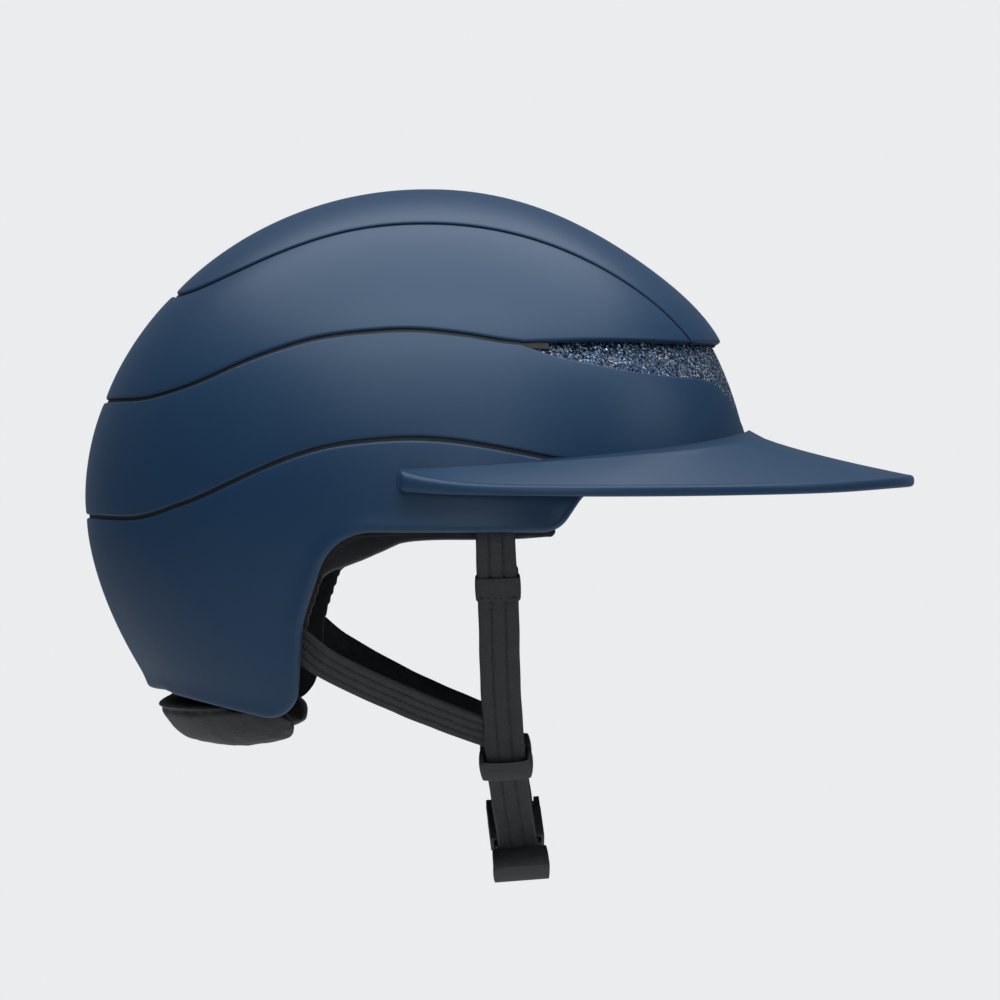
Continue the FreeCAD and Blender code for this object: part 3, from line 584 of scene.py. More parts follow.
def leather_finish(name, base, grain_scale=1050.0, depth=0.00013, rough=0.52):
    """Matte grained synthetic leather."""
    material, tree, shader = new_material(name, base, rough, Specular_IOR_Level=0.38)
    cells = tree.nodes.new("ShaderNodeTexVoronoi")
    cells.feature = "DISTANCE_TO_EDGE"
    cells.inputs["Scale"].default_value = grain_scale
    cells.inputs["Randomness"].default_value = 1.0
    coordinates = tree.nodes.new("ShaderNodeTexCoord")
    warp = noise_node(tree, grain_scale * 0.35, 2.0)
    mixed = tree.nodes.new("ShaderNodeVectorMath")
    mixed.operation = "MULTIPLY_ADD"
    link(tree, warp.outputs["Color"], mixed.inputs[0])
    mixed.inputs[1].default_value = (0.0006, 0.0006, 0.0006)
    link(tree, coordinates.outputs["Object"], mixed.inputs[2])
    link(tree, mixed.outputs["Vector"], cells.inputs["Vector"])
    pebble = ramp_node(tree, cells.outputs["Distance"], [(0.0, 0.0), (0.22, 1.0)])
    broad = noise_node(tree, 160.0, 3.0)
    tinted(tree, shader, base, broad.outputs["Fac"], 0.75, 1.3)
    link(tree, range_node(tree, broad.outputs["Fac"], rough - 0.08, rough + 0.1), shader.inputs["Roughness"])
    grain = bump_node(tree, shader, pebble.outputs["Color"], depth)
    bump_node(tree, shader, broad.outputs["Fac"], 0.00012, grain)
    return material


def cloth_finish(name, base, scale=2300.0, depth=0.00012):
    """Knitted pad cloth on object coordinates."""
    material, tree, shader = new_material(name, base, 0.88, Specular_IOR_Level=0.2)
    shader.inputs["Sheen Weight"].default_value = 0.3
    shader.inputs["Sheen Roughness"].default_value = 0.5
    cells = tree.nodes.new("ShaderNodeTexVoronoi")
    cells.inputs["Scale"].default_value = scale
    cells.inputs["Randomness"].default_value = 0.55
    coordinates = tree.nodes.new("ShaderNodeTexCoord")
    link(tree, coordinates.outputs["Object"], cells.inputs["Vector"])
    broad = noise_node(tree, 60.0, 3.0)
    tinted(tree, shader, base, broad.outputs["Fac"], 0.7, 1.35)
    bump_node(tree, shader, cells.outputs["Distance"], depth)
    return material


def foam_finish(name, base):
    """Expanded foam: fused beads a few millimetres across."""
    material, tree, shader = new_material(name, base, 0.7, Specular_IOR_Level=0.3)
    cells = tree.nodes.new("ShaderNodeTexVoronoi")
    cells.feature = "DISTANCE_TO_EDGE"
    cells.inputs["Scale"].default_value = 330.0
    coordinates = tree.nodes.new("ShaderNodeTexCoord")
    link(tree, coordinates.outputs["Object"], cells.inputs["Vector"])
    bead = ramp_node(tree, cells.outputs["Distance"], [(0.0, 0.0), (0.09, 1.0)])
    tinted(tree, shader, base, bead.outputs["Color"], 0.55, 1.15)
    bump_node(tree, shader, bead.outputs["Color"], 0.00015)
    return material


def plastic_finish(name, base, rough=0.42):
    """Moulded plastic with a fine spark-eroded texture."""
    material, tree, shader = new_material(name, base, rough, Specular_IOR_Level=0.45)
    fine = noise_node(tree, 3200.0, 2.0)
    broad = noise_node(tree, 220.0, 3.0)
    tinted(tree, shader, base, broad.outputs["Fac"], 0.85, 1.2)
    link(tree, range_node(tree, broad.outputs["Fac"], rough - 0.06, rough + 0.08), shader.inputs["Roughness"])
    bump_node(tree, shader, fine.outputs["Fac"], 0.00003)
    return material


def steel_finish(name):
    """Brushed steel."""
    material, tree, shader = new_material(name, (0.5, 0.5, 0.52), 0.3, Metallic=1.0)
    fine = noise_node(tree, 900.0, 3.0)
    link(tree, range_node(tree, fine.outputs["Fac"], 0.22, 0.42), shader.inputs["Roughness"])
    bump_node(tree, shader, fine.outputs["Fac"], 0.00001)
    return material


FINISH = {}


class HELMET_OT_finishes(bpy.types.Operator):
    """Makes the materials and gives the carried-over CAD nodes theirs"""

    bl_idname = "helmet.finishes"
    bl_label = "Finishes"

    def execute(self, context):
        finish = context.scene.helmet_finish
        FORM.update(shape())
        FINISH["paint"] = paint_finish(finish)
        FINISH["glitter"] = glitter_finish(finish)
        FINISH["leather"] = leather_finish("harness_leather", tuple(finish.leather))
        dark = tuple(c * 0.45 for c in finish.leather)
        FINISH["roll"] = leather_finish("roll_leather", dark, 900.0, 0.0001, 0.42)
        thread = tuple(c * 0.5 for c in finish.leather)
        FINISH["thread"] = leather_finish("thread", thread, 3000.0, 0.00003, 0.7)
        FINISH["cloth"] = cloth_finish("pad_cloth", tuple(finish.cloth))
        FINISH["foam"] = foam_finish("foam", (0.022, 0.022, 0.024))
        FINISH["black"] = plastic_finish("shell_black", (0.004, 0.004, 0.005), 0.6)
        FINISH["plastic"] = plastic_finish("moulded_plastic", tuple(finish.plastic))
        FINISH["tape"] = cloth_finish("hook_tape", (0.01, 0.01, 0.011), 3500.0, 0.0002)
        FINISH["steel"] = steel_finish("steel")
        kept = {"base_shell": "black", "impact_liner": "foam", "hook_patches": "tape",
                "anchor_rivets": "steel"}
        for node, key in kept.items():
            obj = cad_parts[node]
            obj.data.materials.clear()
            obj.data.materials.append(FINISH[key])
        return {"FINISHED"}


# ---------------------------------------------------------------- shell pieces


class HELMET_OT_panels(bpy.types.Operator):
    """Builds the crown, upper and middle panels"""

    bl_idname = "helmet.panels"
    bl_label = "Shell panels"

    def execute(self, context):
        half_gap = FORM["gap"] / 2
        # middle panel: from the lower seam to the upper seam, or to the glitter band at the front
        low, high = [], []
        for degrees in bearings(0, 180, 1.5, [(8, 32), (64, 76)]):
            around = math.radians(degrees)
            low.append(on_seam(SEAM_MIDDLE, around, half_gap))
            if degrees < BAND_END:
                high.append((around, climb_at(around, smooth(BAND_LOW, degrees))))
            else:
                high.append(on_seam(SEAM_UPPER, around, -half_gap))
        bm = panel(low, high, [low, high])
        close_up(bm, mirror=True)
        dress(new_object("panel_middle", bm, FINISH["paint"], "blue_shell"), "helmet", "middle_panel")

        # upper panel: from the upper seam, or the band's overhang, to the crown's edge
        edge = crown_edge(half_gap)
        edge.reverse()
        first = math.degrees(edge[0][0])
        turns = [math.degrees(a) for a, _ in edge]
        table = [(t, c) for t, (_, c) in zip(turns, edge)]
        low, high = [], []
        for degrees in bearings(first, 180, 1.5, [(first, first + 8), (64, 76), (172, 180)]):
            around = math.radians(degrees)
            high.append((around, smooth(table, degrees)))
            if degrees < BAND_END:
                low.append((around, climb_at(around, smooth(BAND_HIGH, degrees))))
            else:
                low.append(on_seam(SEAM_UPPER, around, half_gap))
        bm = panel(low, high, [low, high])
        close_up(bm, mirror=True)
        dress(new_object("panel_upper", bm, FINISH["paint"], "blue_shell"), "helmet", "upper_panel")

        # crown panel: rings from its middle out to its edge
        side = crown_edge(-half_gap)
        corner = side[-1]
        front = []
        for k in range(1, 41):
            around = corner[0] * (1 - k / 40)
            front.append((around, climb_at(around, smooth(BAND_HIGH, math.degrees(around)))))
        rim = resample(side, 150) + front
        flat = [(form(*p).x, form(*p).y) for p in rim]
        bm = self.crown(flat, rim)
        close_up(bm, mirror=True)
        dress(new_object("panel_crown", bm, FINISH["paint"], "blue_shell"), "helmet", "crown_panel")
        return {"FINISHED"}

    def crown(self, plan, rim):
        """The left half of the crown panel as rings round its middle; plan is the rim's (x, y)."""
        tree = edge_finder([rim])
        middle_x, rings = 8.0, 34
        outer = rings + len(EDGE_ROWS)
        reaches = [math.hypot(x - middle_x, y) for x, y in plan]

        def share(i, j):
            if j >= rings:
                return 1 - EDGE_ROWS[outer - 1 - j] / reaches[i]
            return (1 - EDGE_ROWS[-1] / reaches[i]) * j / rings

        def place(i, j):
            t = share(i, j) if j < outer else 1 - (j - outer) / (INNER_ROWS - 1)
            x, y = plan[i]
            around, climb = on_top(middle_x + (x - middle_x) * t, y * t)
            here = form(around, climb)
            if j >= outer:
                return here - normal(around, climb) * FORM["wall"]
            return here - normal(around, climb) * edge_depth(tree, here)

        return mapped_grid(len(plan), outer + INNER_ROWS, place)


def rim_line():
    """The shell's lower rim on the left as (around, climb), front to back."""
    # the side view's corners as (x, height, radius)
    corners = ((68.5, 4.4, 12.0), (57.0, -12.6, 12.0), (-30.5, -12.6, 22.0), (-42.5, -48.0, 28.0),
               (-46.0, -88.0, 11.0), (-104.0, -76.0, 25.0))
    path = [Vector((90.0, 4.7))]
    ends = [Vector((150.0, 5.0))] + [Vector(c[:2]) for c in corners] + [Vector((-220.0, -75.0))]
    for i, (x, z, radius) in enumerate(corners, 1):
        here = ends[i]
        before, after = (ends[i - 1] - here).normalized(), (ends[i + 1] - here).normalized()
        half = before.angle(after) / 2
        run = radius / math.tan(half)
        centre = here + (before + after).normalized() * (radius / math.sin(half))
        start, end = here + before * run, here + after * run
        spoke_a, spoke_b = start - centre, end - centre
        sweep = spoke_a.angle_signed(spoke_b)
        for k in range(13):
            turn = -sweep * k / 12
            c, s = math.cos(turn), math.sin(turn)
            path.append(centre + Vector((spoke_a.x * c - spoke_a.y * s, spoke_a.x * s + spoke_a.y * c)))
    brow_z, nape_z = 4.9, -76.3
    brow = [math.radians(degrees) for degrees in range(0, 40, 4)]
    line = [(around, climb_at(around, brow_z)) for around in brow]
    dense = [path[0]]
    for p, q in zip(path, path[1:]):
        steps = max(1, int((q - p).length / 3.0))
        dense += [p.lerp(q, k / steps) for k in range(1, steps + 1)]
    for p in dense:
        if -98 < p.x < 100:
            line.append(on_wall(p.x, p.y))
    line = [p for i, p in enumerate(line) if i < len(brow) or p[0] > brow[-1]]
    last = math.degrees(line[-1][0])
    for k in range(1, 25):
        around = math.radians(last + (180 - last) * k / 24)
        line.append((around, climb_at(around, nape_z)))
    return line


# the share of the rim's length against the bearing, in degrees, of the seam point that it faces
RIM_FACING = ((0.0, 0.0), (0.16, 38.0), (0.26, 62.0), (0.46, 92.0), (0.58, 116.0), (0.68, 128.0),
              (0.75, 140.0), (1.0, 180.0))


class HELMET_OT_lower_shell(bpy.types.Operator):
    """Builds the lower shell with its ear openings"""

    bl_idname = "helmet.lower_shell"
    bl_label = "Lower shell"

    def execute(self, context):
        low = resample(rim_line(), 300)
        high = []
        for k in range(len(low)):
            around = math.radians(smooth(RIM_FACING, k / (len(low) - 1)))
            high.append(on_seam(SEAM_MIDDLE, around, -FORM["gap"] / 2))
        bm = panel(low, high, [high], middle_rows=34, rim=low)
        close_up(bm, mirror=True)
        dress(new_object("panel_lower", bm, FINISH["paint"], "blue_shell"), "helmet", "lower_shell")
        return {"FINISHED"}


class HELMET_OT_glitter(bpy.types.Operator):
    """Builds the recessed glitter band"""

    bl_idname = "helmet.glitter"
    bl_label = "Glitter band"

    def execute(self, context):
        low, high = [], []
        for degrees in bearings(0, BAND_END - 1.0, 0.6):
            around = math.radians(degrees)
            low.append((around, climb_at(around, smooth(BAND_LOW, degrees) + 0.15)))
            high.append((around, climb_at(around, smooth(BAND_HIGH, degrees) + 1.2)))

        def depth_at(t, around):
            flat = max(1 - (math.degrees(around) / 26.0) ** 2, 0.0)
            return 1.3 + 3.1 * min(t * 1.05, 1.0) + 1.3 * flat * math.sin(math.pi * t)

        bm = panel(low, high, [low, high], middle_rows=70, depth_at=depth_at, recess=2.2)
        close_up(bm, mirror=True)
        seeded = Vector((3.1, 7.7, 1.9))
        for v in bm.verts:
            v.co += v.normal * (0.00022 * noise.noise(v.co * 1400 + seeded))
        dress(new_object("glitter_band", bm, FINISH["glitter"], "glitter"), "helmet", "front_inlay")
        return {"FINISHED"}


class HELMET_OT_brim(bpy.types.Operator):
    """Builds the brim"""

    bl_idname = "helmet.brim"
    bl_label = "Brim"

    def execute(self, context):
        centre, end_x = 40.0, -4.0
        reach = FORM["brim_tip"] - centre
        last = math.acos((end_x - centre) / reach)
        columns = 150
        # heights from the tip, at 0, round to the rear end, at 1
        root_table = ((0.0, 28.7), (0.2, 26.8), (0.42, 22.4), (0.62, 18.3), (0.8, 15.0), (0.92, 13.2),
                      (1.0, 12.3))
        low_table = ((0.0, 5.7), (0.2, 4.6), (0.4, 2.6), (0.6, 1.6), (0.8, 1.5), (0.93, 2.0), (1.0, 3.0))
        high_table = ((0.0, 10.4), (0.2, 9.1), (0.4, 6.9), (0.6, 5.6), (0.8, 5.5), (0.9, 6.3), (0.96, 8.6),
                      (1.0, 11.6))

        def section(i):
            t = 1 - (1 - i / (columns - 1)) ** 1.35
            turn = last * t
            edge = Vector((centre + reach * math.cos(turn), FORM["brim_half"] * math.sin(turn), 0))
            around = turn * (math.pi / 2 + 0.07) / last
            root = form(around, climb_at(around, 12.0)) - normal(around, 0.1) * 1.2
            root.z = 0
            share = max(math.cos(turn), 0.0)
            top, low, high = smooth(root_table, t), smooth(low_table, t), smooth(high_table, t)
            under = top - 10.0 + 1.5 * (1 - share) + 2.0 * share
            under = max(under, low + 0.3)
            radius = (high - low) / 2
            out = (edge - root).normalized()
            run = (edge - root).length
            points = []
            for k in range(16):
                q = (k / 15) ** 0.85
                bend = q ** (0.72 + 0.22 * (1 - share))
                p = root + out * (run - radius * 0.9) * q
                p.z = top + (high - top) * bend
                points.append(p)
            for k in range(1, 12):
                angle = math.pi / 2 - math.pi * k / 12
                p = edge - out * radius * 0.9 + out * radius * 0.9 * max(math.cos(angle), 0) ** 0.75
                p.z = (high + low) / 2 + radius * math.copysign(abs(math.sin(angle)) ** 0.75, math.sin(angle))
                points.append(p)
            for k in range(12):
                q = 1 - k / 11
                p = root + out * (run - radius * 0.9) * q
                p.z = under + (low - under) * q**0.8
                points.append(p)
            return points

        sections = [section(i) for i in range(columns)]
        # the rear end closes in over its last millimetre and a half
        for back, shrink in enumerate((0.62, 0.86, 0.95, 0.985)):
            points = sections[columns - 1 - back]
            middle = sum(points, Vector()) / len(points)
            for k, p in enumerate(points):
                points[k] = middle + (p - middle) * shrink
        bm = mapped_grid(columns, len(sections[0]), lambda i, j: sections[i][j], loop_rows=True)
        bmesh.ops.remove_doubles(bm, verts=bm.verts, dist=WELD)
        rims = [e for e in bm.edges if e.is_boundary and all(v.co.y > 0.05 for v in e.verts)]
        bmesh.ops.contextual_create(bm, geom=rims)
        close_up(bm, mirror=True)
        dress(new_object("brim", bm, FINISH["paint"], "blue_shell"), "helmet", "visor")
        return {"FINISHED"}


# ---------------------------------------------------------------- harness

# (x, height) of the webs on the wall, the rear strap's bend, and the places of the divider and the plug's bar
FRONT_WALL = ((33.0, 19.0), (33.0, 6.0), (33.2, -6.0))
REAR_WALL = ((-70.0, -43.0), (-60.0, -48.5), (-50.5, -54.0))
WEB_INSET = 6.4
PLY_GAP = 0.12
REAR_BEND = Vector((-35.0, 82.0, -62.8))
OUT = Vector((0, 0.84, -0.54))
LOOP_AT = Vector((36.8, 40.0, -105.6))
PLUG_BAR = Vector((42.6, -1.0, -147.5))
BAR_OUT = 2.9


def buckle_frame():
    """(mouth, across, lean, face) of the buckle."""
    lean = (LOOP_AT - PLUG_BAR).normalized()
    across = (Vector((1, 0, 0)) - lean * lean.x).normalized()
    return PLUG_BAR + lean * 9.0, across, lean, across.cross(lean)


def wall_spot(x, z, sign):
    """(place, outward normal) of the webs' middle on the wall."""
    around, climb = on_wall(x, z)
    out = normal(around, climb)
    p = form(around, climb) - out * WEB_INSET
    return Vector((p.x, p.y * sign, p.z)), Vector((out.x, out.y * sign, out.z))


def flipped(p, sign):
    """A left-hand point on either side."""
    return Vector((p.x, p.y * sign, p.z))


def front_stations(sign):
    """The front strap: (place, outward normal, width, thickness) from its rivet to round its buckle bar."""
    h = harness()
    out = flipped(OUT, sign)
    stations = [(*wall_spot(x, z, sign), 15.0, 1.5) for x, z in FRONT_WALL]
    stations.append((*wall_spot(33.4, -15.8, sign), 15.4, 2.0))
    for p in ((33.6, 86.5, -34.0), (34.2, 70.0, -61.0), (35.4, 53.5, -86.0), tuple(LOOP_AT)):
        stations.append((flipped(Vector(p), sign), out, h["strap"], h["thick"]))
    mouth, across, lean, face = buckle_frame()
    bar = mouth + lean * 20.0 if sign > 0 else PLUG_BAR
    lay, back = (face, lean) if sign > 0 else (lean, face)
    loop = stations[-1][0]
    lower = bar + lay * BAR_OUT - loop
    low_out = across.cross(lower).normalized()
    if low_out.z > 0:
        low_out = -low_out
    for share in (0.22, 0.55, 0.88):
        stations.append((loop + lower * share, low_out, h["strap"], h["thick"]))
    for degrees in range(0, 201, 20):
        angle = math.radians(degrees)
        spoke = lay * math.cos(angle) - back * math.sin(angle)
        stations.append((bar + spoke * BAR_OUT, -spoke, h["strap"], h["thick"]))
    return stations


def behind(station, distance):
    """A station moved to the wearer's side."""
    return (station[0] - station[1] * distance, *station[1:])


def rear_stations(sign):
    """The rear strap from its rivet to where it is sewn behind the front one."""
    h = harness()
    front = front_stations(sign)
    above, loop, out = front[6][0], front[7][0], front[7][1]
    stations = [(*wall_spot(x, z, sign), 13.5, 1.5) for x, z in REAR_WALL]
    start = flipped(REAR_BEND, sign)
    inward = h["thick"] + PLY_GAP
    sewn = loop + (above - loop) * 0.42
    end = Vector((sewn.x + 3.0, sewn.y, sewn.z)) - out * inward
    near = Vector((24.0, end.y + (start.y - end.y) * 0.16, end.z + 5.5))
    middle = start + (near - start) * 0.5 + Vector((0, 0, -1.5))
    stations.append((start, out, 13.5, 2.0))
    for p in (middle, near, end):
        stations.append((p, out, h["rear_strap"], h["thick"]))
    return stations


def tail_stations(sign):
    """The ply that lies behind the front strap and runs on through the divider."""
    h = harness()
    front = front_stations(sign)
    inward, size = h["thick"] + PLY_GAP, (12.0, h["thick"] * 0.9)
    above, loop, below = (row[0] for row in front[6:9])
    out, low_out = front[7][1], front[8][1]
    low = loop + (below - loop) * (2.2 if sign > 0 else 1.9)
    rows = ((loop + (above - loop) * 0.3, out, *size), (loop, out, *size), (low, low_out, *size))
    return [behind(row, inward) for row in rows]


def flow(stations, step=1.1):
    """Even sections (place, along, out, width, thickness, run) of a smooth path through the stations."""
    places = [row[0] for row in stations]
    slopes = []
    for i, p in enumerate(places):
        a, b = places[max(i - 1, 0)], places[min(i + 1, len(places) - 1)]
        slopes.append((b - a).normalized())
    sections, run = [], 0.0
    for i in range(len(stations) - 1):
        p, q = places[i], places[i + 1]
        long = (q - p).length
        count = max(2, round(long / step))
        for k in range(count + (i == len(stations) - 2)):
            t = k / count
            a, b, c, d = 2 * t**3 - 3 * t * t + 1, t**3 - 2 * t * t + t, 3 * t * t - 2 * t**3, t**3 - t * t
            here = p * a + slopes[i] * (b * long) + q * c + slopes[i + 1] * (d * long)
            ease = t * t * (3 - 2 * t)
            out = stations[i][1].lerp(stations[i + 1][1], ease).normalized()
            wide = stations[i][2] + (stations[i + 1][2] - stations[i][2]) * ease
            thick = stations[i][3] + (stations[i + 1][3] - stations[i][3]) * ease
            sections.append([here, None, out, wide, thick, run + long * t])
        run += long
    for i, row in enumerate(sections):
        a, b = sections[max(i - 1, 0)][0], sections[min(i + 1, len(sections) - 1)][0]
        row[1] = (b - a).normalized()
    return sections


def strap_profile(wide, thick, lines, padding):
    """(across, out) points round a strap: padded strips between sewn grooves, and rolled edges."""
    round_in = min(thick * 0.5, 1.0)
    half, count, points = wide / 2 - round_in, 44, []
    strips = [-wide / 2] + [line * wide for line in lines] + [wide / 2]

    def lift(u):
        up = 0.0
        for a, b in zip(strips, strips[1:]):
            if a <= u <= b:
                up = padding * max(1 - ((2 * u - a - b) / (b - a)) ** 4, 0.0)
        for line in lines:
            up -= 0.34 * math.exp(-(((u - line * wide) / 0.42) ** 2))
        return up

    for k in range(count + 1):
        u = -half + 2 * half * k / count
        points.append((u, thick / 2 - 0.12 + lift(u)))
    for k in range(1, 7):
        angle = math.pi / 2 - math.pi * k / 7
        points.append((half + round_in * math.cos(angle), thick / 2 * math.sin(angle)))
    for k in range(13):
        points.append((half - 2 * half * k / 12, -thick / 2))
    for k in range(1, 7):
        angle = -math.pi / 2 - math.pi * k / 7
        points.append((-half + round_in * math.cos(angle), thick / 2 * math.sin(angle)))
    return points


def add_stitch(bm, centre, along, across, out, long):
    """One stitch: a small capsule sunk in its groove."""
    turn = Matrix((across, along, out)).transposed().to_4x4()
    size_to = Matrix.Diagonal((0.21, long / 2, 0.2, 1))
    matrix = Matrix.Translation(centre * MM) @ turn @ size_to @ Matrix.Scale(MM, 4)
    made = bmesh.ops.create_uvsphere(bm, u_segments=6, v_segments=4, radius=1.0, matrix=matrix)
    faces = {face for v in made["verts"] for face in v.link_faces}
    for face in faces:
        face.material_index = 1


def strap_mesh(stations, lines, padding, sewn):
    """A sewn strap along its stations; lines places the stitched grooves as shares of the width."""
    h = harness()
    sections = flow(stations)
    count = len(sections)
    shapes = [strap_profile(row[3], row[4], lines, padding) for row in sections]
    acrosses = [row[1].cross(row[2]).normalized() for row in sections]
    faces = [a.cross(row[1]).normalized() for a, row in zip(acrosses, sections)]
    rng = random.Random(11)
    waves = [rng.uniform(-1, 1) for _ in range(9)]

    def place(i, j):
        here, u, v = sections[i][0], *shapes[i][j]
        if i in (0, count - 1):
            u, v = u * 0.93, v * 0.6
        run = sections[i][5]
        sway = 0.10 * math.sin(run * 0.11 + waves[2] * 3) + 0.06 * math.sin(run * 0.31 + waves[5])
        puff = 1 + 0.05 * math.sin(run * 0.42 + u * 0.5 + waves[1])
        return here + acrosses[i] * (u + sway) + faces[i] * v * puff

    bm = mapped_grid(count, len(shapes[0]), place, loop_rows=True)
    bmesh.ops.remove_doubles(bm, verts=bm.verts, dist=WELD)
    rims = [e for e in bm.edges if e.is_boundary]
    bmesh.ops.holes_fill(bm, edges=rims, sides=0)
    bmesh.ops.recalc_face_normals(bm, faces=bm.faces)
    total = sections[-1][5]
    for line in lines:
        walked = total * sewn[0] + h["stitch_step"] / 2
        while walked < total * sewn[1]:
            i = min(range(count), key=lambda k: abs(sections[k][5] - walked))
            here, along, _, wide, thick, _ = sections[i]
            centre = here + acrosses[i] * (line * wide) + faces[i] * (thick / 2 - 0.42)
            add_stitch(bm, centre, along, acrosses[i], faces[i], h["stitch"])
            walked += h["stitch_step"]
    return bm


def sleeve(place, across, along, face, half_wide, half_thick, tall, wall, corner, dip=0.0, bulge=0.0):
    """A rounded loop round a strap; its front wall dips by dip and its sides bulge by bulge."""
    around, rows = 72, []
    lip = wall * 0.48
    outline = []
    straight_u, straight_v = half_wide - corner, half_thick - corner
    for k in range(around):
        angle = 2 * math.pi * k / around
        c, s = math.cos(angle), math.sin(angle)
        outline.append((math.copysign(min(abs(c) * 1.45, 1.0) * straight_u, c) + corner * c,
                        math.copysign(min(abs(s) * 1.45, 1.0) * straight_v, s) + corner * s, c, s))
    for k in range(9):
        t = -1 + 2 * k / 8
        rows.append((bulge * (1 - t * t), t * (tall / 2 - lip)))
    for k in range(1, 6):
        angle = math.pi * k / 6
        rows.append((-lip * (1 - math.cos(angle)), tall / 2 - lip + lip * math.sin(angle)))
    for k in range(5):
        t = 1 - 2 * k / 4
        rows.append((-2 * lip, t * (tall / 2 - lip)))
    for k in range(1, 6):
        angle = math.pi + math.pi * k / 6
        rows.append((-lip * (1 - math.cos(angle)), -tall / 2 + lip + lip * math.sin(angle)))

    def spot(i, j):
        u, v, c, s = outline[i]
        grow, up = rows[j]
        up -= dip * max(s, 0.0) * (1 if up > 0 else 0.35)
        return place + across * (u + grow * c) + face * (v + grow * s) + along * up

    bm = mapped_grid(around, len(rows), spot, loop_rows=True, loop_columns=True)
    close_up(bm)
    return bm


def softened(node, radius):
    """A copy of a CAD node with its edges rounded."""
    bm = bmesh.new()
    bm.from_mesh(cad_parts[node].data)
    bmesh.ops.remove_doubles(bm, verts=bm.verts, dist=1e-6)
    bmesh.ops.dissolve_limit(bm, angle_limit=math.radians(4), verts=bm.verts, edges=bm.edges)
    edges = [e for e in bm.edges if len(e.link_faces) == 2 and e.calc_face_angle(0) > math.radians(35)]
    bmesh.ops.bevel(bm, geom=edges, offset=radius * MM, offset_type="OFFSET", segments=3, profile=0.5,
                    affect="EDGES", clamp_overlap=True, material=-1)
    bmesh.ops.recalc_face_normals(bm, faces=bm.faces)
    return bm


def shaded(obj):
    """Smooth shading that keeps the hard edges."""
    hard = math.radians(32)
    bm = bmesh.new()
    bm.from_mesh(obj.data)
    for edge in bm.edges:
        edge.smooth = not (len(edge.link_faces) == 2 and edge.calc_face_angle(0) > hard)
    bm.to_mesh(obj.data)
    bm.free()
    return obj


def at_metres(p):
    """A millimetre point in metres, as plain numbers."""
    return tuple(c * MM for c in p)


class HELMET_OT_straps(bpy.types.Operator):
    """Sews the front and rear straps, with the webs that hang them"""

    bl_idname = "helmet.straps"
    bl_label = "Straps"

    def execute(self, context):
        for side, sign in SIDES:
            body = f"{side}_harness"
            stations = front_stations(sign)
            piece = self.strap(f"front_strap_sewn_{side}", stations, (-0.17, 0.17), sewn=(0.11, 0.94))
            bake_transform(piece)
            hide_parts(f"front_hanger_{side}", f"front_strap_{side}")

            stations = rear_stations(sign)
            piece = self.strap(f"rear_strap_sewn_{side}", stations, (-0.25, 0.0, 0.25), 0.16, (0.2, 0.99))
            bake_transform(piece)
            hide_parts(f"rear_hanger_{side}", f"rear_strap_{side}")

            stations = tail_stations(sign)
            piece = self.strap(f"rear_strap_tail_{side}", stations, (-0.25, 0.25), 0.1, (0.05, 0.95))
            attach(piece, body)
        return {"FINISHED"}

    def bend(self, stations, before, after):
        """Where a strap starts and stops bending at the shell's edge, in metres."""
        edge = stations[3][0]
        way = (stations[4][0] - stations[2][0]).normalized()
        return at_metres(edge - way * before), at_metres(edge + way * after)

    def strap(self, name, stations, lines, padding=0.22, sewn=(0.0, 1.0)):
        """A leather strap with its thread."""
        bm = strap_mesh(stations, lines, padding, sewn)
        piece = new_object(name, bm, FINISH["leather"], "black_leather")
        piece.data.materials.append(FINISH["thread"])
        return piece


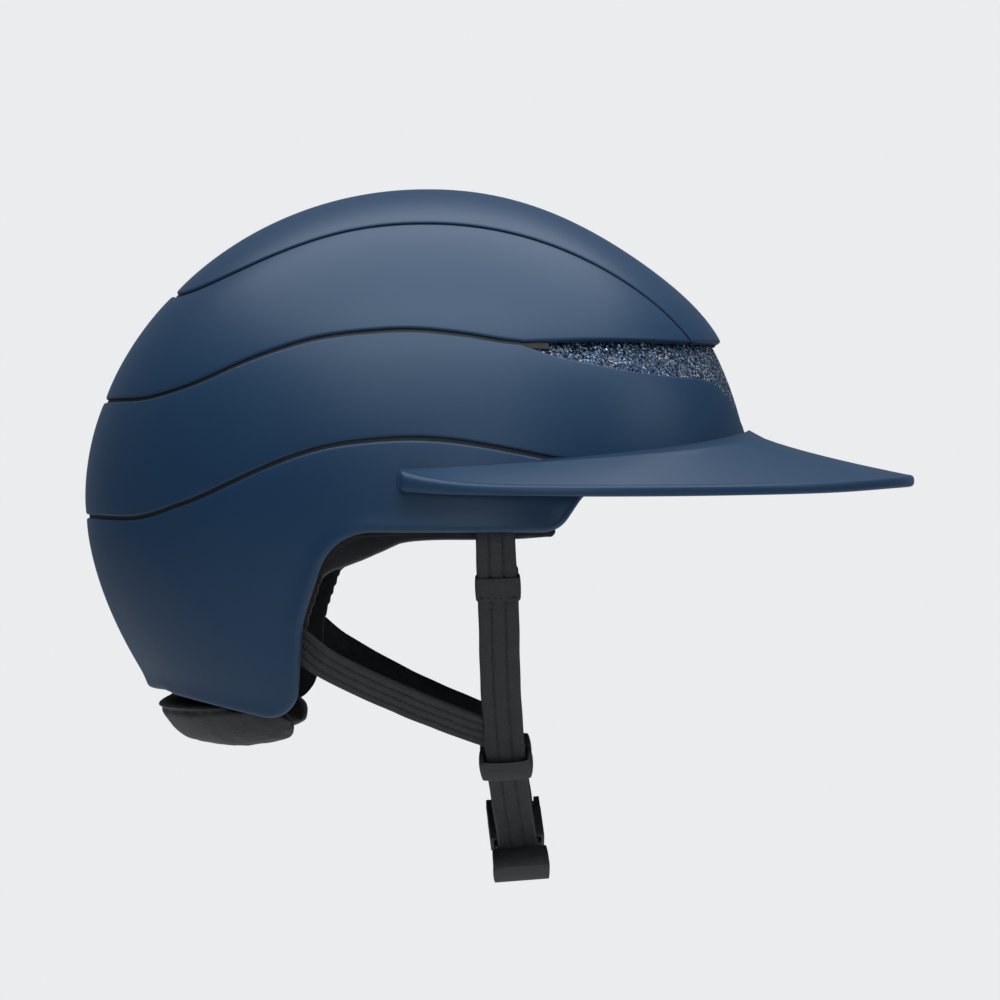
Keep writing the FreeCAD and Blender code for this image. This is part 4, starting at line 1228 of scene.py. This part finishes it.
class HELMET_OT_fittings(bpy.types.Operator):
    """Makes the collars, the dividers and the buckle"""

    bl_idname = "helmet.fittings"
    bl_label = "Fittings"

    def execute(self, context):
        h = harness()
        for side, sign in SIDES:
            stations = front_stations(sign)
            # collar: a leather keeper with a row of stitches at its foot
            here, out = stations[4][0], stations[4][1]
            along = (stations[5][0] - stations[3][0]).normalized()
            across = along.cross(out).normalized()
            face = across.cross(along).normalized()
            wide, deep = h["strap"] / 2 + 0.75, h["thick"] / 2 + 1.0
            bm = sleeve(here, across, -along, face, wide, deep, 10.5, 0.8, 1.5, 0.0, 0.2)
            for k in range(6):
                u = (k - 2.5) * 2.6
                centre = here + across * u + along * 3.6 + face * (h["thick"] / 2 + 1.02)
                add_stitch(bm, centre, across, along, face, 1.9)
            piece = new_object(f"collar_{side}", bm, FINISH["leather"], "black_leather")
            piece.data.materials.append(FINISH["thread"])
            dress(piece, f"{side}_harness", f"strap_collar_{side}")
            # divider: a moulded loop that slides on both plies
            loop, out = stations[7][0], stations[7][1]
            along = (stations[8][0] - stations[6][0]).normalized()
            across = along.cross(out).normalized()
            face = across.cross(along).normalized()
            middle = loop - out * (h["thick"] / 2 + 0.06)
            wide, deep = h["strap"] / 2 + 2.5, h["thick"] + 3.25
            bm = sleeve(middle, across, -along, face, wide, deep, 10.0, 2.0, 2.8, 1.3, 0.35)
            piece = new_object(f"divider_loop_{side}", bm, FINISH["plastic"], "black_plastic")
            dress(piece, f"{side}_divider", f"divider_{side}")
        pieces = (("buckle_plug", "right_harness", 0.55), ("buckle_socket", "left_harness", 0.6),
                  ("buckle_prong_front", "front_prong", 0.45), ("buckle_prong_rear", "rear_prong", 0.45))
        for node, body, radius in pieces:
            bm = softened(node, radius)
            if node == "buckle_plug":
                self.grip(bm)
            piece = shaded(new_object(f"{node}_moulded", bm, FINISH["plastic"], "black_plastic"))
            dress(piece, body, node)
        return {"FINISHED"}

    def grip(self, bm):
        """The crowned grip across the plug's end."""
        mouth, across, lean, face = buckle_frame()
        slope = ((-1, -3.6), (-0.67, -3.2), (-0.33, -1.0), (0, 1.2), (0.33, 3.3), (0.67, 4.5), (1, 6.0))
        before = set(bm.verts)
        made = bmesh.ops.create_cube(bm, size=1.0)
        edges = list({e for v in made["verts"] for e in v.link_edges})
        bmesh.ops.subdivide_edges(bm, edges=edges, cuts=5, use_grid_fill=True)
        block = [v for v in bm.verts if v not in before]
        for v in block:
            u, w, t = v.co * 2
            x = 11.6 * u * (1 - 0.04 * abs(t) ** 3) * (1 - 0.03 * w * w)
            z = smooth(slope, t) + 0.35 * (1 - u * u) * (t > 0.5)
            z -= (0.5 * w * w + 0.4 * u**4) * (t > 0.9)
            y = -14.6 + 2.7 * w * math.sqrt(1 - 0.25 * t * t)
            y += 6.4 * (w + 1) / 2 * (t > 0.5) - 0.5 * u * u * (w > 0) * (t > 0.5)
            v.co = (mouth + across * x + lean * y + face * z) * MM


class HELMET_OT_seam_beds(bpy.types.Operator):
    """Lays a dark bed in the gaps between the panels"""

    bl_idname = "helmet.seam_beds"
    bl_label = "Seam beds"

    def execute(self, context):
        lines = {
            "middle": [on_seam(SEAM_MIDDLE, math.radians(d), 0) for d in bearings(0, 180, 1.5)],
            "upper": [on_seam(SEAM_UPPER, math.radians(d), 0) for d in bearings(66, 180, 1.5)],
            "crown": resample(crown_edge(0.0), 140),
        }
        for name, line in lines.items():
            places = [form(*p) for p in line]
            ways = []
            for i in range(len(line)):
                a, b = places[max(i - 1, 0)], places[min(i + 1, len(line) - 1)]
                ways.append((b - a).normalized().cross(normal(*line[i])).normalized())

            def place(i, j):
                u, depth = ((-1.5, 1.5), (1.5, 1.5), (1.5, 2.95), (-1.5, 2.95))[j]
                if j in (0, 1):
                    u *= 0.9
                return places[i] + ways[i] * u - normal(*line[i]) * depth

            bm = mapped_grid(len(line), 4, place, loop_rows=True)
            bmesh.ops.remove_doubles(bm, verts=bm.verts, dist=WELD)
            rims = [e for e in bm.edges if e.is_boundary and all(v.co.y > 1e-4 for v in e.verts)]
            if rims:
                bmesh.ops.holes_fill(bm, edges=rims, sides=0)
            close_up(bm, mirror=True)
            dress(new_object(f"seam_bed_{name}", bm, FINISH["black"], "black_shell", False), "helmet")
        return {"FINISHED"}


# ---------------------------------------------------------------- pads


def puffed(node, name, voxel, cap, finish, slot_name, shrink):
    """A padded piece swollen, by up to cap, from a copy of its CAD solid that is smaller by shrink."""
    bm = bmesh.new()
    bm.from_mesh(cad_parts[node].data)
    bmesh.ops.remove_doubles(bm, verts=bm.verts, dist=1e-6)
    bmesh.ops.recalc_face_normals(bm, faces=bm.faces)
    for v in bm.verts:
        v.co -= v.normal * shrink * MM
    obj = new_object(name, bm, FINISH[finish], slot_name)
    view = bpy.context.view_layer
    view.objects.active = obj
    remesh = obj.modifiers.new("remesh", "REMESH")
    remesh.mode = "VOXEL"
    remesh.voxel_size = voxel * MM
    settle(obj)
    start = [v.co.copy() for v in obj.data.vertices]
    cloth = obj.modifiers.new("cloth", "CLOTH")
    cloth.settings.use_pressure = True
    cloth.settings.uniform_pressure_force = 4.0
    cloth.settings.effector_weights.gravity = 0.0
    cloth.settings.mass = 0.25
    cloth.point_cache.frame_start, cloth.point_cache.frame_end = 1, 20
    for step in range(1, 21):
        bpy.context.scene.frame_set(step)
    settle(obj)
    bpy.context.scene.frame_set(1)
    for v, was in zip(obj.data.vertices, start):
        move = v.co - was
        if move.length > cap * MM:
            v.co = was + move.normalized() * cap * MM
    relax = obj.modifiers.new("relax", "SMOOTH")
    relax.factor, relax.iterations = 0.5, 4
    subdivide = obj.modifiers.new("subdivide", "SUBSURF")
    subdivide.levels = subdivide.render_levels = 2
    settle(obj)
    obj.data.polygons.foreach_set("use_smooth", [True] * len(obj.data.polygons))
    return obj


def settle(obj):
    """Turns an object's modifiers into its mesh."""
    graph = bpy.context.evaluated_depsgraph_get()
    mesh = bpy.data.meshes.new_from_object(obj.evaluated_get(graph))
    old = obj.data
    obj.modifiers.clear()
    obj.data = mesh
    bpy.data.meshes.remove(old)


def sewn_relief(obj, channels, depth, width):
    """Presses sewn channels into a pad; channels gives a signed distance in millimetres for a point."""
    seed = Vector((5.2, 1.3, 8.8))
    normals = [v.normal.copy() for v in obj.data.vertices]
    for v, out in zip(obj.data.vertices, normals):
        p = v.co / MM
        sink = 0.0
        for channel in channels:
            distance = abs(channel(p))
            sink += depth * math.exp(-((distance / width) ** 2))
            sink -= 0.12 * depth * math.exp(-(((distance - 2.4 * width) / (1.5 * width)) ** 2))
        crease = 0.22 * noise.noise(p * 0.16 + seed) + 0.10 * noise.noise(p * 0.45 + seed)
        v.co -= out * (sink - crease) * MM


class HELMET_OT_pads(bpy.types.Operator):
    """Makes the comfort pads, the nape pad and the ear linings"""

    bl_idname = "helmet.pads"
    bl_label = "Pads"

    def execute(self, context):
        pad = puffed("nape_pad", "nape_roll", 4.0, 5.0, "roll", "black_leather", 0.4)
        for v in pad.data.vertices:
            p = v.co / MM
            low = min(max((-78.0 - p.z) / 4.0, 0.0), 1.0)
            low *= low * (3 - 2 * low)
            way = Vector((p.x - 5, p.y, 0)).normalized()
            fore = min(max((p.x + 78) / 30.0, 0.0), 1.0)
            forward = 6.5 * fore * fore * low
            v.co += (way * (8.0 * low * (1 - fore)) + Vector((forward, 0, -1.2 * low))) * MM
        sewn_relief(pad, [lambda p: p.z + 84.5 - 0.0035 * (p.x + 95) ** 2], 0.9, 1.1)
        dress(pad, "helmet", "nape_pad")
        pad = puffed("crown_pad", "crown_cushion", 4.0, 5.0, "cloth", "pad_cloth", 0.7)
        sewn_relief(pad, [lambda p: p.y - 14, lambda p: p.y + 14, lambda p: p.x - 4], 1.3, 1.2)
        dress(pad, "helmet", "crown_pad")
        pad = puffed("brow_pad", "brow_cushion", 4.0, 5.0, "cloth", "pad_cloth", 0.7)
        sewn_relief(pad, [lambda p: p.y - 26, lambda p: p.y + 26, lambda p: p.y], 1.3, 1.2)
        dress(pad, "helmet", "brow_pad")
        for side, sign in SIDES:
            name = f"side_cushion_{side}"
            pad = puffed(f"side_pad_{side}", name, 4.0, 5.0, "cloth", "pad_cloth", 0.7)
            sewn_relief(pad, [lambda p: p.x + 18, lambda p: p.z - 18], 1.2, 1.2)
            dress(pad, "helmet", f"side_pad_{side}")
            name = f"ear_cushion_{side}"
            pad = puffed(f"ear_lining_{side}", name, 1.3, 0.5, "cloth", "pad_cloth", 0.1)
            dress(pad, "helmet", f"ear_lining_{side}")
        return {"FINISHED"}


class HELMET_OT_gussets(bpy.types.Operator):
    """Sews the cloth gussets across the rear corners of the ear openings"""

    bl_idname = "helmet.gussets"
    bl_label = "Ear gussets"

    def execute(self, context):
        # the gusset's free lower edge as (x, height)
        edge = ((-41.0, -40.0), (-35.1, -31.3), (-26.5, -27.4), (-18.1, -24.1), (-10.5, -20.6), (-3.8, -17.8),
                (7.8, -16.6), (26.3, -16.4), (44.0, -16.0), (52.0, -15.4))
        count, rows = 90, 24
        back, front = edge[0][0], edge[-1][0]
        spots = []
        for i in range(count):
            x = back + (front - back) * i / (count - 1)
            low = smooth(edge, x)
            column = []
            for j in range(rows):
                t = min(j, rows - 1 - j) / (rows / 2 - 1)
                z = low + (max(-7.0, low + 9.0) - low) * t
                column.append(on_wall(x, z))
            spots.append(column)
        for side, sign in SIDES:

            def place(i, j):
                around, climb = spots[i][j]
                face = 1 if j < rows / 2 else -1
                t = min(j, rows - 1 - j) / (rows / 2 - 1)
                roll = math.sqrt(max(1 - (1 - min(t * 5, 1)) ** 2, 0.0))
                ripple = 0.25 * noise.noise(Vector((i * 0.11, j * 0.2, 3.0)))
                depth = 9.4 - face * 1.15 * roll * (1 + ripple)
                p = form(around, climb) - normal(around, climb) * depth
                return Vector((p.x, p.y * sign, p.z))

            bm = mapped_grid(count, rows, place, loop_rows=True)
            bmesh.ops.remove_doubles(bm, verts=bm.verts, dist=WELD)
            rims = [e for e in bm.edges if e.is_boundary]
            bmesh.ops.holes_fill(bm, edges=rims, sides=0)
            bmesh.ops.recalc_face_normals(bm, faces=bm.faces)
            dress(new_object(f"ear_gusset_{side}", bm, FINISH["cloth"], "pad_cloth"), "helmet")
        return {"FINISHED"}


# ---------------------------------------------------------------- stage


class HELMET_OT_stage(bpy.types.Operator):
    """Builds the floor, the lights and the camera"""

    bl_idname = "helmet.stage"
    bl_label = "Stage"

    def execute(self, context):
        scene = context.scene
        half_side, below = 2.8, -0.62
        bm = bmesh.new()
        bmesh.ops.create_grid(bm, x_segments=60, y_segments=60, size=1.0)
        for v in bm.verts:
            v.co = Vector((v.co.x * half_side, v.co.y * half_side, below))
        floor = new_object("floor", bm, self.pale(), "foam")
        del floor["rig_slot"]
        scene.view_settings.view_transform = "Standard"
        scene.view_settings.look = "None"
        world = bpy.data.worlds.new("studio")
        scene.world = world
        world.use_nodes = True
        tree = world.node_tree
        pale = tree.nodes["Background"]
        pale.inputs["Color"].default_value = (0.831, 0.839, 0.855, 1)
        pale.inputs["Strength"].default_value = 1.0
        dim = tree.nodes.new("ShaderNodeBackground")
        dim.inputs["Color"].default_value = (0.70, 0.82, 1.0, 1)
        dim.inputs["Strength"].default_value = 0.15
        path = tree.nodes.new("ShaderNodeLightPath")
        mix = tree.nodes.new("ShaderNodeMixShader")
        link(tree, path.outputs["Is Camera Ray"], mix.inputs["Fac"])
        link(tree, dim.outputs["Background"], mix.inputs[1])
        link(tree, pale.outputs["Background"], mix.inputs[2])
        link(tree, mix.outputs["Shader"], tree.nodes["World Output"].inputs["Surface"])
        self.light("overhead", (0.05, -0.15, 1.2), (0.02, 0, 0.02), 1.9, 30.0)
        self.light("key", (0.1, -1.6, 1.5), (0.02, 0, 0.02), 1.5, 14.0)
        self.light("front", (1.5, -0.5, 0.75), (0.1, 0, 0.0), 0.7, 3.0)
        self.light("low fill", (0.3, -1.9, 0.25), (0.05, 0, 0.0), 0.5, 3.0)
        camera = bpy.data.cameras.new("camera")
        camera.lens = 144.9
        camera.sensor_width = 36.0
        camera.clip_end = 100.0
        view = bpy.data.objects.new("camera", camera)
        view.location = (0.0344, -1.65, 0.0)
        view.rotation_euler = (math.pi / 2, 0, 0)
        scene.collection.objects.link(view)
        scene.camera = view
        return {"FINISHED"}

    def light(self, name, place, target, size, power):
        """A square soft light aimed at a point."""
        data = bpy.data.lights.new(name, "AREA")
        data.size = size
        data.energy = power
        obj = bpy.data.objects.new(name, data)
        obj.location = place
        obj.rotation_euler = (Vector(target) - Vector(place)).to_track_quat("-Z", "Y").to_euler()
        bpy.context.scene.collection.objects.link(obj)

    def pale(self):
        """The pale floor."""
        base = (0.80, 0.815, 0.825)
        material, tree, shader = new_material("pale_floor", base, 0.9, Specular_IOR_Level=0.1)
        broad = noise_node(tree, 2.0, 2.0)
        tinted(tree, shader, base, broad.outputs["Fac"], 0.995, 1.005)
        return material


# ---------------------------------------------------------------- panel and registration


STEPS = ("finishes", "panels", "seam_beds", "lower_shell", "glitter", "brim", "pads", "gussets",
         "straps", "fittings", "stage")


class HELMET_PT_sidebar(bpy.types.Panel):
    """Lists the steps"""

    bl_idname = "HELMET_PT_sidebar"
    bl_label = "Riding Helmet"
    bl_space_type = "VIEW_3D"
    bl_region_type = "UI"
    bl_category = "Helmet"

    def draw(self, context):
        for step in STEPS:
            self.layout.operator(f"helmet.{step}")


CLASSES = (HelmetShape, HelmetFinish, HarnessShape, HELMET_OT_finishes, HELMET_OT_panels, HELMET_OT_seam_beds,
           HELMET_OT_lower_shell, HELMET_OT_glitter, HELMET_OT_brim, HELMET_OT_pads, HELMET_OT_gussets,
           HELMET_OT_straps, HELMET_OT_fittings, HELMET_OT_stage, HELMET_PT_sidebar)
GROUPS = {"helmet_shape": HelmetShape, "helmet_finish": HelmetFinish, "helmet_harness": HarnessShape}


def register():
    """Registers the classes and their settings."""
    for cls in CLASSES:
        bpy.utils.register_class(cls)
    for name, group in GROUPS.items():
        setattr(bpy.types.Scene, name, bpy.props.PointerProperty(type=group))


def unregister():
    """Removes the classes and their settings."""
    for name in GROUPS:
        delattr(bpy.types.Scene, name)
    for cls in reversed(CLASSES):
        bpy.utils.unregister_class(cls)


def main():
    """Builds everything in order."""
    register()
    for step in STEPS:
        getattr(bpy.ops.helmet, step)()


if __name__ == "__main__":
    main()
